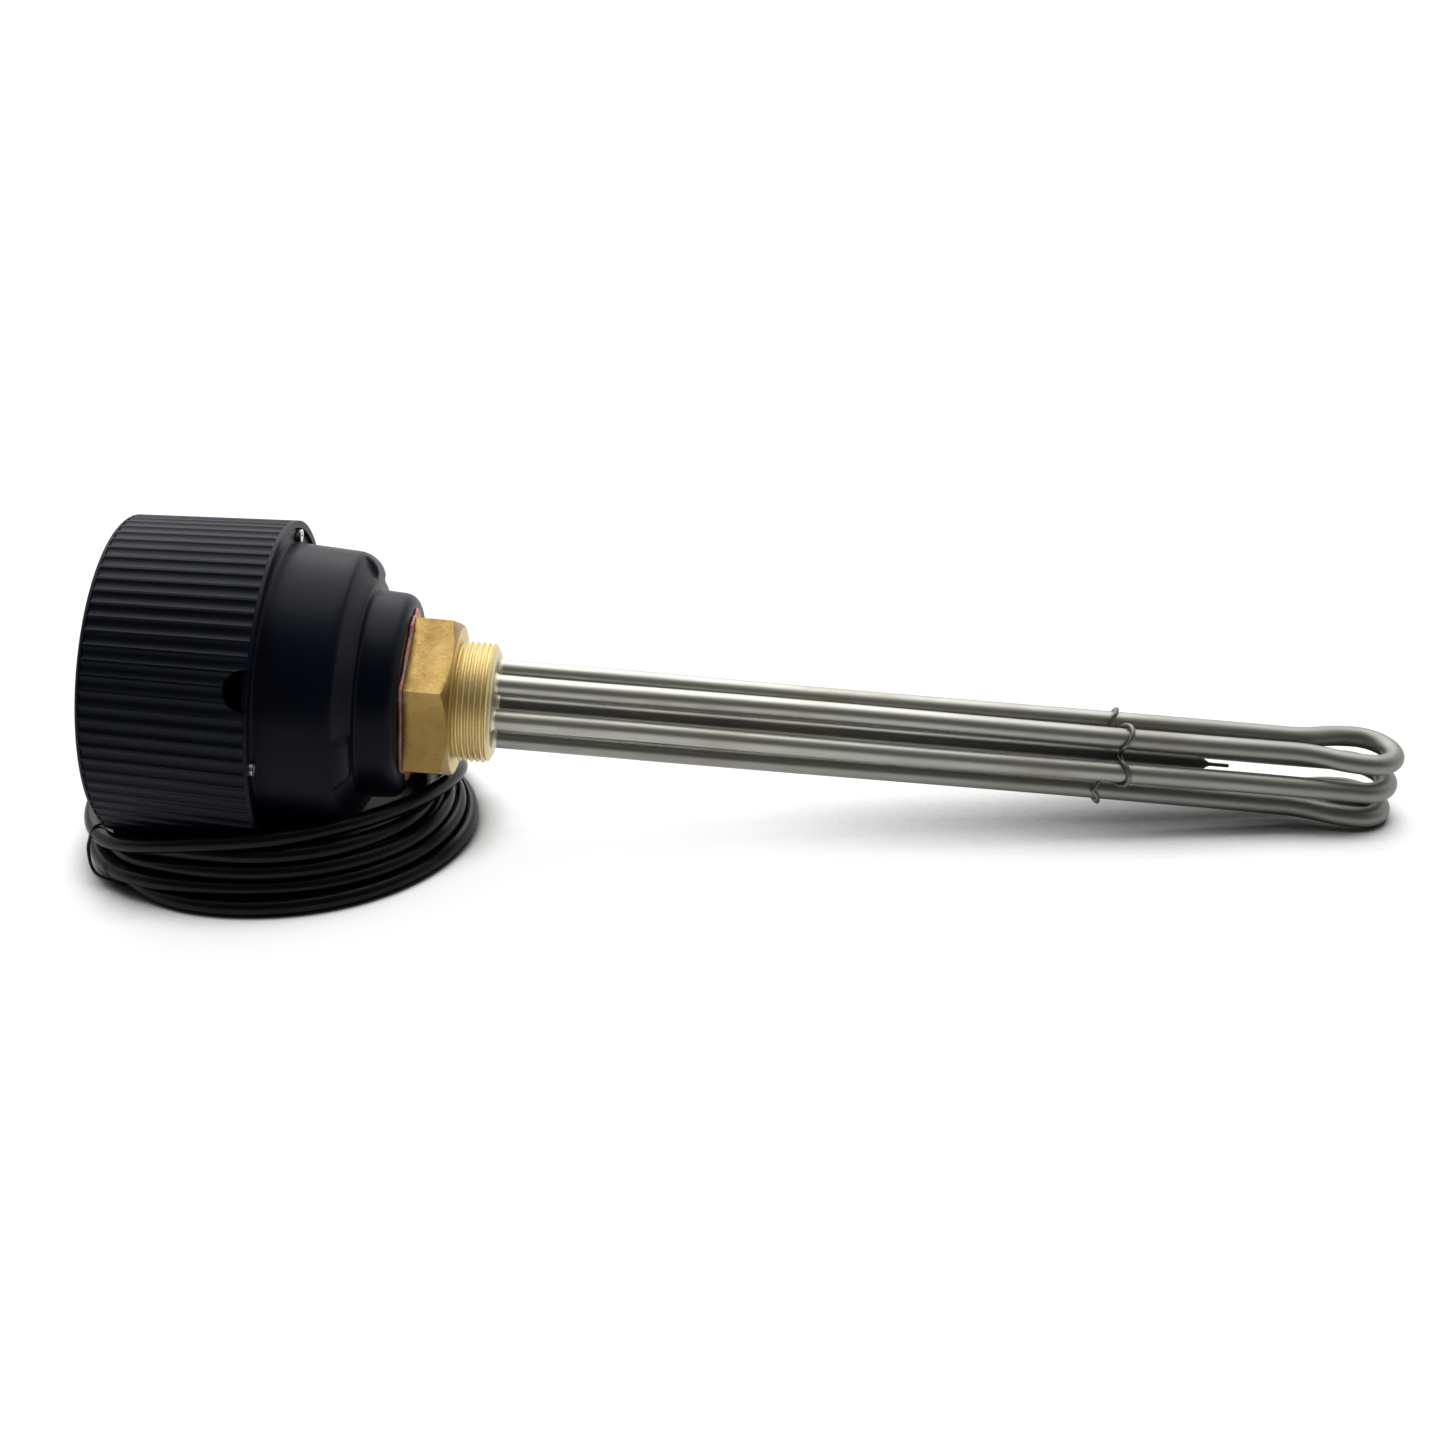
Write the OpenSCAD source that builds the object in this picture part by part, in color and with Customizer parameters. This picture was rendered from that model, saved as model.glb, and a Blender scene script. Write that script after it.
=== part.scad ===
// Screw plug immersion heater: a brass hexagon plug with three hairpin elements, a thermostat head
// under a fluted cover, and a coiled supply cable. It lies on the floor on its cover's rim and on
// the bend of its lowest hairpin. Each piece is drawn upright, with z along the heater's axis to
// the tip and z = 0 on the plug's neck, ahead of its hexagon, and is then laid down.

/* [Cover cap] */
// Length of the fluted cover
cap_len = 64; // [50:0.5:90]
// Outer radius at the cover's open rim
cap_rim_r = 65.5; // [63:0.1:75]
// How much narrower the closed end is than the rim
cap_taper = 2.9; // [1:0.1:4]
// Wall of the cover
cap_wall = 2.6; // [2:0.1:3.5]
// Thickness of the cover's closed end
cap_end_t = 3; // [2:0.1:5]
// Rounding of the closed end's edge
cap_edge_r = 2; // [1:0.1:2.5]
// Number of flutes around the cover
flute_count = 72; // [36:2:76]
// Radius of the round tool that cuts a flute
flute_r = 4.6; // [4:0.1:5.5]
// Depth of a flute
flute_depth = 0.72; // [0.3:0.02:0.75]
// Plain band left at each end of the flutes
flute_band = 1.6; // [1:0.1:4]

/* [Cable entries] */
// Diameter of both cable entries
entry_d = 16; // [13:0.5:18]
// Height of the spare front entry above level, in degrees around the axis
front_entry_angle = 24; // [15:1:40]
// How far the front entry's centre lies inside the rim
front_entry_in = 1.8; // [1:0.1:4]
// Direction of the cable's entry, at the back and below level
back_entry_angle = -156; // [-165:1:-150]
// How far the cable entry's centre lies inside the rim
back_entry_in = 16.5; // [15.5:0.1:20]
// Length of the tapered bush outside the cover
bush_len = 24; // [18:1:30]

/* [Terminal base] */
// How far the base's barrel lies inside the cover's rim
barrel_in = 8.5; // [8.2:0.1:9.5]
// How much narrower the barrel is at its shoulder
barrel_taper = 1.3; // [0.6:0.1:2.5]
// Length of the barrel in front of the flange
barrel_len = 25; // [20:0.5:40]
// Width of the shoulder's chamfer, and radius of its three round lugs
shoulder = 10; // [8:0.5:11]
// Step from the shoulder in to the collar
collar_step = 4.5; // [2.5:0.1:6]
// Length of the collar
collar_len = 15; // [13:0.5:24]
// Rounding of the collar's front edge
collar_edge_r = 5; // [2:0.5:6]
// Wall of the base
base_wall = 3; // [2.5:0.1:4]
// Thickness of the flange inside the cover's mouth
flange_t = 2; // [1.5:0.1:4]
// Half of the angle that each round lug spans
lug_half_angle = 19; // [12:1:25]
// Angle of the first cover screw; the others follow at a third of a turn
screw_angle = -5.3; // [-10:0.1:10]
// Radius of the cover screws' heads
screw_head_r = 2.4; // [2:0.1:2.5]

/* [Screw plug] */
// Width of the hexagon across its flats
hex_af = 60; // [56:0.5:64]
// Length of the hexagon
hex_len = 17.5; // [13:0.5:20]
// Length of the plain neck from the hexagon to z = 0
neck_len = 1; // [0.6:0.1:4]
// Outer radius of the parallel pipe thread
thread_r = 23.9; // [23:0.05:24.5]
// Length of the thread
thread_len = 11.8; // [10:0.1:20]
// Width of the relief groove from z = 0 to the thread
relief_w = 1; // [0.6:0.1:3]
// Radius of the plug's rear boss, inside the base
boss_r = 20; // [19.5:0.1:22]
// Thickness of the lock nut on the boss
nut_t = 7; // [5:0.5:9]
// Radius of the gasket under the hexagon
gasket_r = 34.2; // [32:0.1:36]
// Thickness of the gasket
gasket_t = 1.4; // [1:0.1:3]

/* [Heating elements] */
// Radius of a heating tube
tube_r = 4.1; // [3.6:0.05:4.25]
// Radius of the circle on which the six legs stand
leg_circle_r = 13.56; // [13:0.02:14.5]
// Reach of the hairpins past the plug's neck
element_reach = 374; // [300:1:600]
// Radius of the bulged end bends on the upper and lower hairpins
bulge_r = 12; // [10:0.1:14]
// Bending radius of the legs' joggle ahead of a bulged end
joggle_r = 43; // [35:1:60]
// Reach of the thermowell past the plug's neck
well_reach = 306; // [240:1:320]
// Length of the thermowell's pinched tail
well_tail_len = 7; // [4:0.5:12]
// Thickness of the pinched tail
well_tail_t = 1.5; // [1:0.1:2.4]
// Place of the wire clip past the plug's neck
clip_at = 259; // [150:1:300]
// Radius of the clip's wire
clip_wire_r = 0.9; // [0.7:0.05:1.2]

/* [Thermostat and terminals] */
// Radius of the thermostat's stem
stem_r = 2.9; // [2.4:0.1:3]
// Length of the stem inside the heater, past the plug's neck
stem_reach = 250; // [150:1:270]
// Width of the thermostat's housing
thermostat_w = 34; // [30:0.5:36]
// Depth of the thermostat's housing
thermostat_d = 30; // [24:0.5:34]
// Height of the thermostat's housing
thermostat_h = 34; // [28:0.5:40]
// Radius of the temperature spindle
spindle_r = 3; // [2.5:0.1:3.5]
// Radius of the knob's skirt
knob_r = 20; // [17:0.5:24]
// Radius of the knob's grip
grip_r = 14.5; // [12:0.5:16]
// Height of the knob with its skirt
knob_h = 11; // [9:0.5:14]
// Radius of the pilot lamp's lens
lamp_r = 4; // [3:0.1:5]
// Distance of the pilot lamp from the axis
lamp_at = 42; // [34:0.5:46]
// Width of the terminal block
block_w = 36; // [30:0.5:38]
// Depth of the terminal block
block_d = 16; // [13:0.5:18]
// Height of the terminal block
block_h = 16; // [12:0.5:17]

/* [Cable] */
// Diameter of the supply cable
cable_d = 6.5; // [6:0.1:7]
// Radius of the coil's round ends
coil_r = 68.5; // [66:0.5:74]
// Length of the coil's straight sides
coil_side = 13; // [8:0.5:24]
// Width of the coil's bundle
bundle_w = 22; // [20:0.5:24]
// Height of the coil's bundle
bundle_h = 29; // [24:0.5:30]
// Thickness of the tie's wire
tie_d = 1.6; // [1:0.1:2]

/* [Hidden] */
$fn = 96;

// Gap between pieces that are seated or screwed together
seat = 0.05;
// Gap round pieces that pass freely through a hole
slip = 0.3;
// Overshoot of a cutting shape past the face that it cuts
over = 1;

// Radii of the base
barrel_r = cap_rim_r - barrel_in;
barrel_front_r = barrel_r - barrel_taper;
collar_r = barrel_front_r - shoulder - collar_step;

// Stations along the axis
hex_back = -neck_len - hex_len;
gasket_back = hex_back - gasket_t - 2 * seat;
base_front = gasket_back;
base_inner = base_front - base_wall - 1;
collar_back = base_front - collar_len;
shoulder_back = collar_back - shoulder;
flange_front = shoulder_back - barrel_len;
flange_back = flange_front - flange_t;
rim_recess = 1.2;
cap_rim = flange_front + rim_recess;
cap_end = cap_rim - cap_len;
seal_t = 0.7;
stop_front = flange_back - seal_t - 2 * seat;
stop_t = 2.5;
stop_in = 3;
cap_end_r = cap_rim_r - cap_taper;
cap_draft = cap_taper / cap_len;
cap_draft_angle = atan(cap_draft);
function cap_r(z) = cap_rim_r - cap_draft * (cap_rim - z);
mouth_r = cap_r(stop_front) - cap_wall;
flange_r = mouth_r - slip;
screw_circle_r = (barrel_r + flange_r) / 2;
screw_shank_r = 1.45;
screw_angles = [for (k = [0:2]) screw_angle + 120 * k];
screw_len = 14;
boss_wall = 1.9;
front_entry_z = cap_rim - front_entry_in;
back_entry_z = cap_rim - back_entry_in;
nut_back = base_inner - seat - nut_t;
boss_back = nut_back - 3;
tip_face = relief_w + thread_len + 1.2;
cold_end = boss_back - 4;
hex_corner_r = hex_af / 2 / cos(30);

// Terminals behind the plug
insulator_h = 6;
pin_r = 1.5;
link_t = 1;
link_back = cold_end - seat - insulator_h - seat - link_t;
pin_nut_h = 2.4;
pin_end = link_back - seat - pin_nut_h - 3;

// Bracket and thermostat
plate_t = 1.5;
post_r = 4;
post_at = barrel_front_r - base_wall - post_r - 4.7;
post_back = pin_end - 8;
plate_front = post_back - seat;
plate_back = plate_front - plate_t;
plate_w = 40;
bracket_screw_r = 1.6;
bracket_screw_len = 8;
earth_screw_len = 5;
screw_cap_r = 2.9;
screw_cap_h = 2;
thermostat_back = plate_back - seat - thermostat_h;
neck_r = 5;
neck_h = 6;
neck_depth = 8;
neck_back = thermostat_back - neck_h;
knob_gap = 0.4;
knob_front = cap_end - knob_gap;
knob_back = knob_front - knob_h;
skirt_t = 2;
knob_edge = 1;
spindle_back = knob_back + 2.5;
block_at = post_at - post_r - block_d / 2;
block_back = plate_back - seat - block_h;
earth_at = [-10, 10 - post_at];

// Lying pose: the cover's rim and the lowest bend touch the floor
bend_drop = leg_circle_r * sin(60);
rest_rise = cap_rim_r - bend_drop;
rest_run = element_reach - tube_r - cap_rim;
tilt = acos(tube_r / norm([rest_rise, rest_run])) - atan2(rest_run, rest_rise);
axis_h = cap_rim_r * cos(tilt) + cap_rim * sin(tilt);
x_low = knob_back * cos(tilt) - (grip_r - knob_edge) * sin(tilt);
x_high = (element_reach - tube_r) * cos(tilt) + bend_drop * sin(tilt) + tube_r;
axis_x = -(x_low + x_high) / 2;

module laid() {
    translate([axis_x, 0, axis_h])
        rotate([0, 90 + tilt, 0])
            children();
}

// Angles around the axis count from level at the front, upwards
function turn(a) = -90 - a;
function around(a, r, z) = [r * cos(turn(a)), r * sin(turn(a)), z];
function lay(p) = [
    axis_x + p.z * cos(tilt) - p.x * sin(tilt),
    p.y,
    axis_h - p.x * cos(tilt) - p.z * sin(tilt)];

module at_angle(a, r) {
    rotate([0, 0, turn(a)])
        translate([r, 0, 0])
            children();
}

// Points a tool's z along the radius at an angle around the axis
module radially(a, z) {
    rotate([0, 0, turn(a)])
        translate([0, 0, z])
            rotate([0, 90, 0])
                children();
}

// A smooth curve through points, with steps to each span
function spline(p0, p1, p2, p3, t) = 0.5 * (2 * p1 + (p2 - p0) * t
    + (2 * p0 - 5 * p1 + 4 * p2 - p3) * t * t + (3 * p1 - p0 - 3 * p2 + p3) * t * t * t);
function smooth(p, steps) = let (n = len(p) - 1) [
    for (i = [0:n - 1], k = [0:steps - 1])
        spline(i > 0 ? p[i - 1] : 2 * p[0] - p[1], p[i], p[i + 1],
            i < n - 1 ? p[i + 2] : 2 * p[n] - p[n - 1], k / steps),
    p[n]];
function unit(v) = v / norm(v);
function heading(p, i, closed) = let (n = len(p)) closed
    ? unit(p[(i + 1) % n] - p[(i + n - 1) % n])
    : unit(p[min(i + 1, n - 1)] - p[max(i - 1, 0)]);
function ring(c, d, r, sides, ref) = let (u = unit(cross(d, ref)), v = cross(d, u)) [
    for (k = [0:sides - 1]) c + r * (cos(360 * k / sides) * u + sin(360 * k / sides) * v)];

// A round tube swept along points, with flat ends or closed on itself
module tube(p, r, sides, ref = [0, 0, 1], closed = false) {
    n = len(p);
    spans = closed ? n : n - 1;
    points = [for (i = [0:n - 1]) each ring(p[i], heading(p, i, closed), r, sides, ref)];
    walls = [for (i = [0:spans - 1], k = [0:sides - 1]) let (a = i * sides,
        b = ((i + 1) % n) * sides, m = (k + 1) % sides)
            each [[a + k, a + m, b + m], [a + k, b + m, b + k]]];
    ends = closed ? [] : [
        [for (k = [sides - 1:-1:0]) k],
        [for (k = [0:sides - 1]) (n - 1) * sides + k]];
    polyhedron(points, concat(walls, ends), convexity = 6);
}

// Cover
module cap_profile() {
    edge = cap_edge_r;
    end_r = cap_end_r - edge;
    polygon([[0, cap_end], [end_r, cap_end], [cap_end_r, cap_end + edge], [cap_rim_r, cap_rim],
        [0, cap_rim]]);
    translate([end_r, cap_end + edge])
        circle(edge);
}

module cap_hollow() {
    inner_end = cap_end + cap_end_t;
    polygon([[0, inner_end], [cap_r(inner_end) - cap_wall, inner_end],
        [mouth_r, stop_front - stop_t / 2], [mouth_r, cap_rim + over], [0, cap_rim + over]]);
}

module stop_profile() {
    translate([mouth_r - stop_in, stop_front - stop_t])
        square([stop_in + cap_wall / 2, stop_t]);
}

module flutes() {
    run = cap_len - 2 * flute_band;
    start = cap_end + flute_band;
    for (k = [0:flute_count - 1])
        rotate([0, 0, 360 * (k + 0.5) / flute_count])
            translate([cap_r(start) + flute_r - flute_depth, 0, start])
                rotate([0, cap_draft_angle, 0])
                    cylinder(r = flute_r, h = run);
}

module front_entry() {
    radially(front_entry_angle, front_entry_z)
        translate([0, 0, cap_rim_r - cap_wall - stop_in - over])
            cylinder(d = entry_d, h = cap_wall + stop_in + 3 * over);
}

module cover_cap() color([0.05, 0.055, 0.065]) laid() {
    boss_len = screw_len + 2;
    difference() {
        union() {
            difference() {
                rotate_extrude() cap_profile();
                rotate_extrude() cap_hollow();
                flutes();
            }
            rotate_extrude() stop_profile();
            for (a = screw_angles)
                at_angle(a, screw_circle_r)
                    translate([0, 0, stop_front - boss_len])
                        cylinder(r = screw_shank_r + boss_wall, h = boss_len - stop_t / 2);
        }
        for (a = screw_angles)
            at_angle(a, screw_circle_r)
                translate([0, 0, flange_front - screw_len - over])
                    cylinder(r = screw_shank_r + seat, h = screw_len + 2 * over);
        front_entry();
        radially(back_entry_angle, back_entry_z)
            cylinder(d = entry_d, h = cap_rim_r + over);
        translate([0, 0, cap_end - over])
            cylinder(r = spindle_r + 2 * slip, h = cap_end_t + 2 * over);
        at_angle(90, lamp_at)
            translate([0, 0, cap_end - over])
                cylinder(r = lamp_r + seat, h = cap_end_t + 2 * over);
    }
}

module cover_seal() color([0.12, 0.12, 0.12]) laid() difference() {
    translate([0, 0, stop_front + seat])
        cylinder(r = flange_r, h = seal_t);
    translate([0, 0, stop_front - over])
        cylinder(r = mouth_r - stop_in, h = seal_t + 2 * over);
    for (a = screw_angles)
        at_angle(a, screw_circle_r)
            translate([0, 0, stop_front - over])
                cylinder(r = screw_shank_r + slip, h = seal_t + 2 * over);
    front_entry();
}

module cover_screws() color([0.8, 0.8, 0.78]) laid() {
    head_h = 1.9;
    slot_w = 0.7;
    for (a = screw_angles)
        at_angle(a, screw_circle_r)
            difference() {
                union() {
                    translate([0, 0, flange_front + seat])
                        cylinder(r = screw_head_r, h = head_h);
                    translate([0, 0, flange_front - screw_len])
                        cylinder(r = screw_shank_r, h = screw_len + head_h / 2);
                }
                for (q = [0, 90])
                    rotate([0, 0, q])
                        translate([-slot_w / 2, -screw_head_r * 0.7, flange_front + head_h / 2])
                            cube([slot_w, screw_head_r * 1.4, head_h]);
            }
}

// Terminal base
module base_outline() {
    collar_front_r = collar_r - 0.8;
    edge_r = collar_front_r - collar_edge_r;
    polygon([[0, flange_back], [flange_r, flange_back], [flange_r, flange_front],
        [barrel_r, flange_front], [barrel_front_r, shoulder_back],
        [barrel_front_r - shoulder, collar_back], [collar_r, collar_back],
        [collar_front_r, base_front - collar_edge_r], [edge_r, base_front], [0, base_front]]);
    translate([edge_r, base_front - collar_edge_r])
        circle(collar_edge_r);
}

module base_hollow() {
    inner_r = barrel_front_r - base_wall;
    collar_in = collar_r - base_wall - 0.8;
    polygon([[0, flange_back - over], [barrel_r - base_wall, flange_back - over],
        [inner_r, shoulder_back - base_wall / 2],
        [inner_r - shoulder + base_wall / 2, collar_back - base_wall],
        [collar_in, collar_back - base_wall], [collar_in, base_inner], [0, base_inner]]);
}

module lug_profile() {
    inner_r = barrel_front_r - shoulder;
    translate([inner_r - base_wall, shoulder_back - base_wall])
        square([base_wall, shoulder + base_wall]);
    translate([inner_r - over, shoulder_back - base_wall])
        square([shoulder + over, base_wall]);
    translate([inner_r, shoulder_back])
        circle(shoulder);
}

module terminal_base() color([0.045, 0.05, 0.06]) laid() {
    difference() {
        union() {
            rotate_extrude() base_outline();
            for (a = screw_angles)
                rotate([0, 0, turn(a) - lug_half_angle])
                    rotate_extrude(angle = 2 * lug_half_angle) lug_profile();
        }
        rotate_extrude() base_hollow();
        translate([0, 0, base_inner - over])
            cylinder(r = boss_r + slip, h = base_wall + 1 + 2 * over);
        for (a = screw_angles)
            at_angle(a, screw_circle_r)
                translate([0, 0, flange_back - over])
                    cylinder(r = screw_shank_r + slip, h = flange_t + 2 * over);
    }
    for (a = [0, 180])
        at_angle(a, post_at)
            difference() {
                translate([0, 0, post_back])
                    cylinder(r = post_r, h = collar_back - base_wall - post_back);
                translate([0, 0, post_back - over])
                    cylinder(r = bracket_screw_r + seat, h = 10);
            }
}

// Plug
module lock_nut() color([0.72, 0.56, 0.3]) laid() difference() {
    nut_af = 50;
    translate([0, 0, nut_back])
        cylinder(d = nut_af / cos(30), h = nut_t, $fn = 6);
    translate([0, 0, nut_back - over])
        cylinder(r = boss_r + seat, h = nut_t + 2 * over);
}

module plug_gasket() color([0.82, 0.45, 0.42]) laid() {
    wave = 0.45;
    waves = 7;
    translate([0, 0, gasket_back + seat])
        linear_extrude(gasket_t)
            difference() {
                polygon([for (a = [0:5:355])
                    let (r = gasket_r + wave * sin(waves * a)) [r * cos(a), r * sin(a)]]);
                circle(boss_r + slip);
            }
}

module plug_profile() {
    relief_r = thread_r - 1.6;
    bevel = 1.2;
    corner_cut = 5.8;
    corner_len = 3;
    back_cut = 0.4;
    polygon([[0, boss_back], [boss_r, boss_back], [boss_r, hex_back],
        [hex_corner_r - back_cut, hex_back], [hex_corner_r, hex_back + back_cut],
        [hex_corner_r, -neck_len - corner_len], [hex_corner_r - corner_cut, -neck_len],
        [relief_r, -neck_len],
        [relief_r, relief_w], [thread_r, relief_w], [thread_r, relief_w + thread_len],
        [thread_r - 2 * bevel, tip_face], [0, tip_face]]);
}

module screw_plug() color([0.72, 0.55, 0.27]) laid() difference() {
    intersection() {
        rotate_extrude() plug_profile();
        union() {
            translate([0, 0, hex_back])
                cylinder(r = hex_corner_r, h = hex_len, $fn = 6);
            translate([0, 0, boss_back - over])
                cylinder(r = thread_r + over, h = tip_face - boss_back + 2 * over);
        }
    }
    for (a = [0:60:300])
        at_angle(a, leg_circle_r)
            translate([0, 0, boss_back - over])
                cylinder(r = tube_r + seat, h = tip_face - boss_back + 2 * over);
    translate([0, 0, boss_back - over])
        cylinder(r = tube_r + seat, h = tip_face - boss_back + 2 * over);
}

// Heating elements: a hairpin lies flat at a height above the axis, and its bend is as wide as
// its legs or bulges out past them
module bent(y, z, r, from, sweep, thin = 0) {
    translate([0, y, z])
        rotate([90, 0, 90])
            rotate([0, 0, from])
                rotate_extrude(angle = sweep)
                    translate([r, 0])
                        circle(tube_r - thin);
}

// Each arc of a joggle runs a little way into its neighbour and is thinner by a hair
lap = 1.5;
weld = 0.04;

module hairpin(height, half_gap, bend_r) {
    shift = bend_r - half_gap;
    angle = acos(1 - shift / 2 / joggle_r);
    bend_z = element_reach - tube_r - bend_r;
    joggle_z = bend_z - 2 * joggle_r * sin(angle);
    translate([-height, 0, 0]) {
        for (side = [0, 1])
            mirror([0, side, 0]) {
                translate([0, half_gap, cold_end])
                    cylinder(r = tube_r, h = joggle_z - cold_end);
                if (shift > 0) {
                    bent(half_gap + joggle_r, joggle_z, joggle_r, 180 - angle, angle + lap, weld);
                    bent(bend_r - joggle_r, bend_z, joggle_r, -angle - lap, angle + 2 * lap,
                        2 * weld);
                }
            }
        bent(0, bend_z, bend_r, 0, 180);
    }
}

module heating_element_upper() color([0.55, 0.54, 0.51]) laid()
    hairpin(bend_drop, leg_circle_r / 2, bulge_r);

module heating_element_middle() color([0.55, 0.54, 0.51]) laid()
    hairpin(0, leg_circle_r, leg_circle_r);

module heating_element_lower() color([0.55, 0.54, 0.51]) laid()
    hairpin(-bend_drop, leg_circle_r / 2, bulge_r);

module thermowell() color([0.42, 0.41, 0.39]) laid() {
    tail_w = 7;
    pinch_len = 6;
    pinch = well_reach - well_tail_len - pinch_len;
    rib = 0.2;
    thin = 0.01;
    difference() {
        translate([0, 0, boss_back - 2])
            cylinder(r = tube_r, h = pinch - boss_back + 2);
        translate([0, 0, boss_back - 2 - over])
            cylinder(r = stem_r + slip, h = stem_reach + 6 - boss_back + over);
    }
    rotate([0, 0, turn(27)]) {
        hull() {
            translate([0, 0, pinch - over])
                cylinder(r = tube_r - rib, h = over + thin, $fn = 32);
            translate([-tail_w / 2 - rib, -well_tail_t / 2 - rib, pinch + pinch_len])
                cube([tail_w + 2 * rib, well_tail_t + 2 * rib, thin]);
        }
        translate([-tail_w / 2, -well_tail_t / 2, pinch + pinch_len - over])
            cube([tail_w, well_tail_t, well_tail_len + over]);
    }
}

// The clip weaves round the outside of the six legs and wanders along them
clip_r = leg_circle_r + tube_r + clip_wire_r + 2 * seat;
clip_dip = 2.8;
clip_wander = [3.4, 3.6, 0, -1, -3, -5];
function wander(a) = let (k = floor(a / 60), f = (1 - cos(3 * (a - 60 * k))) / 2)
    clip_wander[k % 6] * (1 - f) + clip_wander[(k + 1) % 6] * f;
clip_path = [for (a = [0:5:355])
    around(a, clip_r - clip_dip * (1 - cos(6 * a)) / 2, clip_at + wander(a))];

module element_clip() color([0.6, 0.6, 0.58]) laid()
    tube(clip_path, clip_wire_r, 8, closed = true);

// Terminals behind the plug
module at_legs() {
    for (a = [0:60:300])
        at_angle(a, leg_circle_r)
            children();
}

module pin_insulators() color([0.88, 0.86, 0.8]) laid() at_legs() difference() {
    translate([0, 0, cold_end - seat - insulator_h])
        cylinder(r = tube_r - 0.6, h = insulator_h);
    translate([0, 0, cold_end - insulator_h - over])
        cylinder(r = pin_r + seat, h = insulator_h + 2 * over);
}

module terminal_pins() color([0.68, 0.67, 0.63]) laid() at_legs()
    translate([0, 0, pin_end])
        cylinder(r = pin_r, h = cold_end - seat - pin_end);

module pin_links() color([0.75, 0.6, 0.32]) laid() {
    half_w = 4;
    reach = 70;
    for (a = [0, 180])
        difference() {
            rotate([0, 0, turn(a) - reach])
                rotate_extrude(angle = 2 * reach)
                    translate([leg_circle_r - half_w, link_back])
                        square([2 * half_w, link_t]);
            at_legs()
                translate([0, 0, link_back - over])
                    cylinder(r = pin_r + seat, h = link_t + 2 * over);
        }
}

module pin_nuts() color([0.7, 0.7, 0.68]) laid() at_legs() difference() {
    translate([0, 0, link_back - seat - pin_nut_h])
        cylinder(r = 3.1, h = pin_nut_h, $fn = 6);
    translate([0, 0, link_back - pin_nut_h - over])
        cylinder(r = pin_r + seat, h = pin_nut_h + 2 * over);
}

// Thermostat
module thermostat_bracket() color([0.7, 0.7, 0.68]) laid() difference() {
    intersection() {
        translate([-plate_w / 2, -post_at - post_r, plate_back])
            cube([plate_w, 2 * (post_at + post_r), plate_t]);
        translate([0, 0, plate_back - over])
            cylinder(r = post_at + post_r, h = plate_t + 2 * over);
    }
    translate([0, 0, plate_back - over])
        cylinder(r = stem_r + slip, h = plate_t + 2 * over);
    for (a = [0, 180])
        at_angle(a, post_at)
            translate([0, 0, plate_back - over])
                cylinder(r = bracket_screw_r + slip, h = plate_t + 2 * over);
    translate([earth_at.x, earth_at.y, plate_back - over])
        cylinder(r = bracket_screw_r + seat, h = plate_t + 2 * over);
    translate([4, -24, plate_back - over])
        cylinder(r = 4.5, h = plate_t + 2 * over);
}

module small_screw(shank) {
    translate([0, 0, plate_back - seat - screw_cap_h])
        cylinder(r = screw_cap_r, h = screw_cap_h);
    translate([0, 0, plate_back - screw_cap_h])
        cylinder(r = bracket_screw_r, h = shank + screw_cap_h);
}

module bracket_screws() color([0.7, 0.7, 0.68]) laid()
    for (a = [0, 180])
        at_angle(a, post_at)
            small_screw(bracket_screw_len);

module earth_screw() color([0.75, 0.6, 0.32]) laid()
    translate([earth_at.x, earth_at.y, 0])
        small_screw(earth_screw_len);

module thermostat_body() color([0.16, 0.16, 0.17]) laid() difference() {
    union() {
        translate([-thermostat_w / 2, -thermostat_d / 2, thermostat_back])
            cube([thermostat_w, thermostat_d, thermostat_h]);
        translate([0, 0, neck_back])
            cylinder(r = neck_r, h = neck_h + over);
    }
    translate([0, 0, neck_back - over])
        cylinder(r = spindle_r + seat, h = neck_depth + over);
}

module thermostat_stem() color([0.7, 0.55, 0.35]) laid()
    translate([0, 0, plate_back])
        cylinder(r = stem_r, h = stem_reach - plate_back);

module thermostat_spindle() color([0.68, 0.67, 0.63]) laid()
    translate([0, 0, spindle_back])
        cylinder(r = spindle_r, h = neck_back + neck_depth - slip - spindle_back);

module temperature_knob() color([0.05, 0.05, 0.055]) laid() {
    grip_count = 18;
    grip_cut = 1.6;
    pointer_w = 3;
    pointer_angle = 225;
    difference() {
        rotate_extrude()
            polygon([[0, knob_back], [grip_r - knob_edge, knob_back],
                [grip_r, knob_back + knob_edge], [grip_r + 0.5, knob_front - skirt_t],
                [knob_r - knob_edge, knob_front - skirt_t], [knob_r, knob_front - knob_edge],
                [knob_r, knob_front], [0, knob_front]]);
        for (k = [0:grip_count - 1])
            rotate([0, 0, 360 * (k + 0.5) / grip_count])
                translate([grip_r + grip_cut / 2, 0, knob_back - over])
                    cylinder(r = grip_cut, h = knob_h - skirt_t);
        translate([0, 0, spindle_back - seat])
            cylinder(r = spindle_r + seat / 2, h = knob_front - spindle_back + over);
        at_angle(pointer_angle, grip_r / 2)
            translate([-grip_r / 4, -pointer_w / 2, knob_back - over])
                cube([grip_r, pointer_w, over + 0.6]);
    }
}

module pilot_lamp() color([0.75, 0.1, 0.08]) laid() {
    lens_h = 1.6;
    flange_h = 0.8;
    at_angle(90, lamp_at) {
        translate([0, 0, cap_end - seat - flange_h])
            cylinder(r = lamp_r + 1.2, h = flange_h);
        translate([0, 0, cap_end - seat - flange_h])
            cylinder(r = lamp_r, h = cap_end_t + 9);
        translate([0, 0, cap_end - seat - flange_h - lens_h])
            cylinder(r1 = lamp_r - 1.2, r2 = lamp_r, h = lens_h);
    }
}

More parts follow.
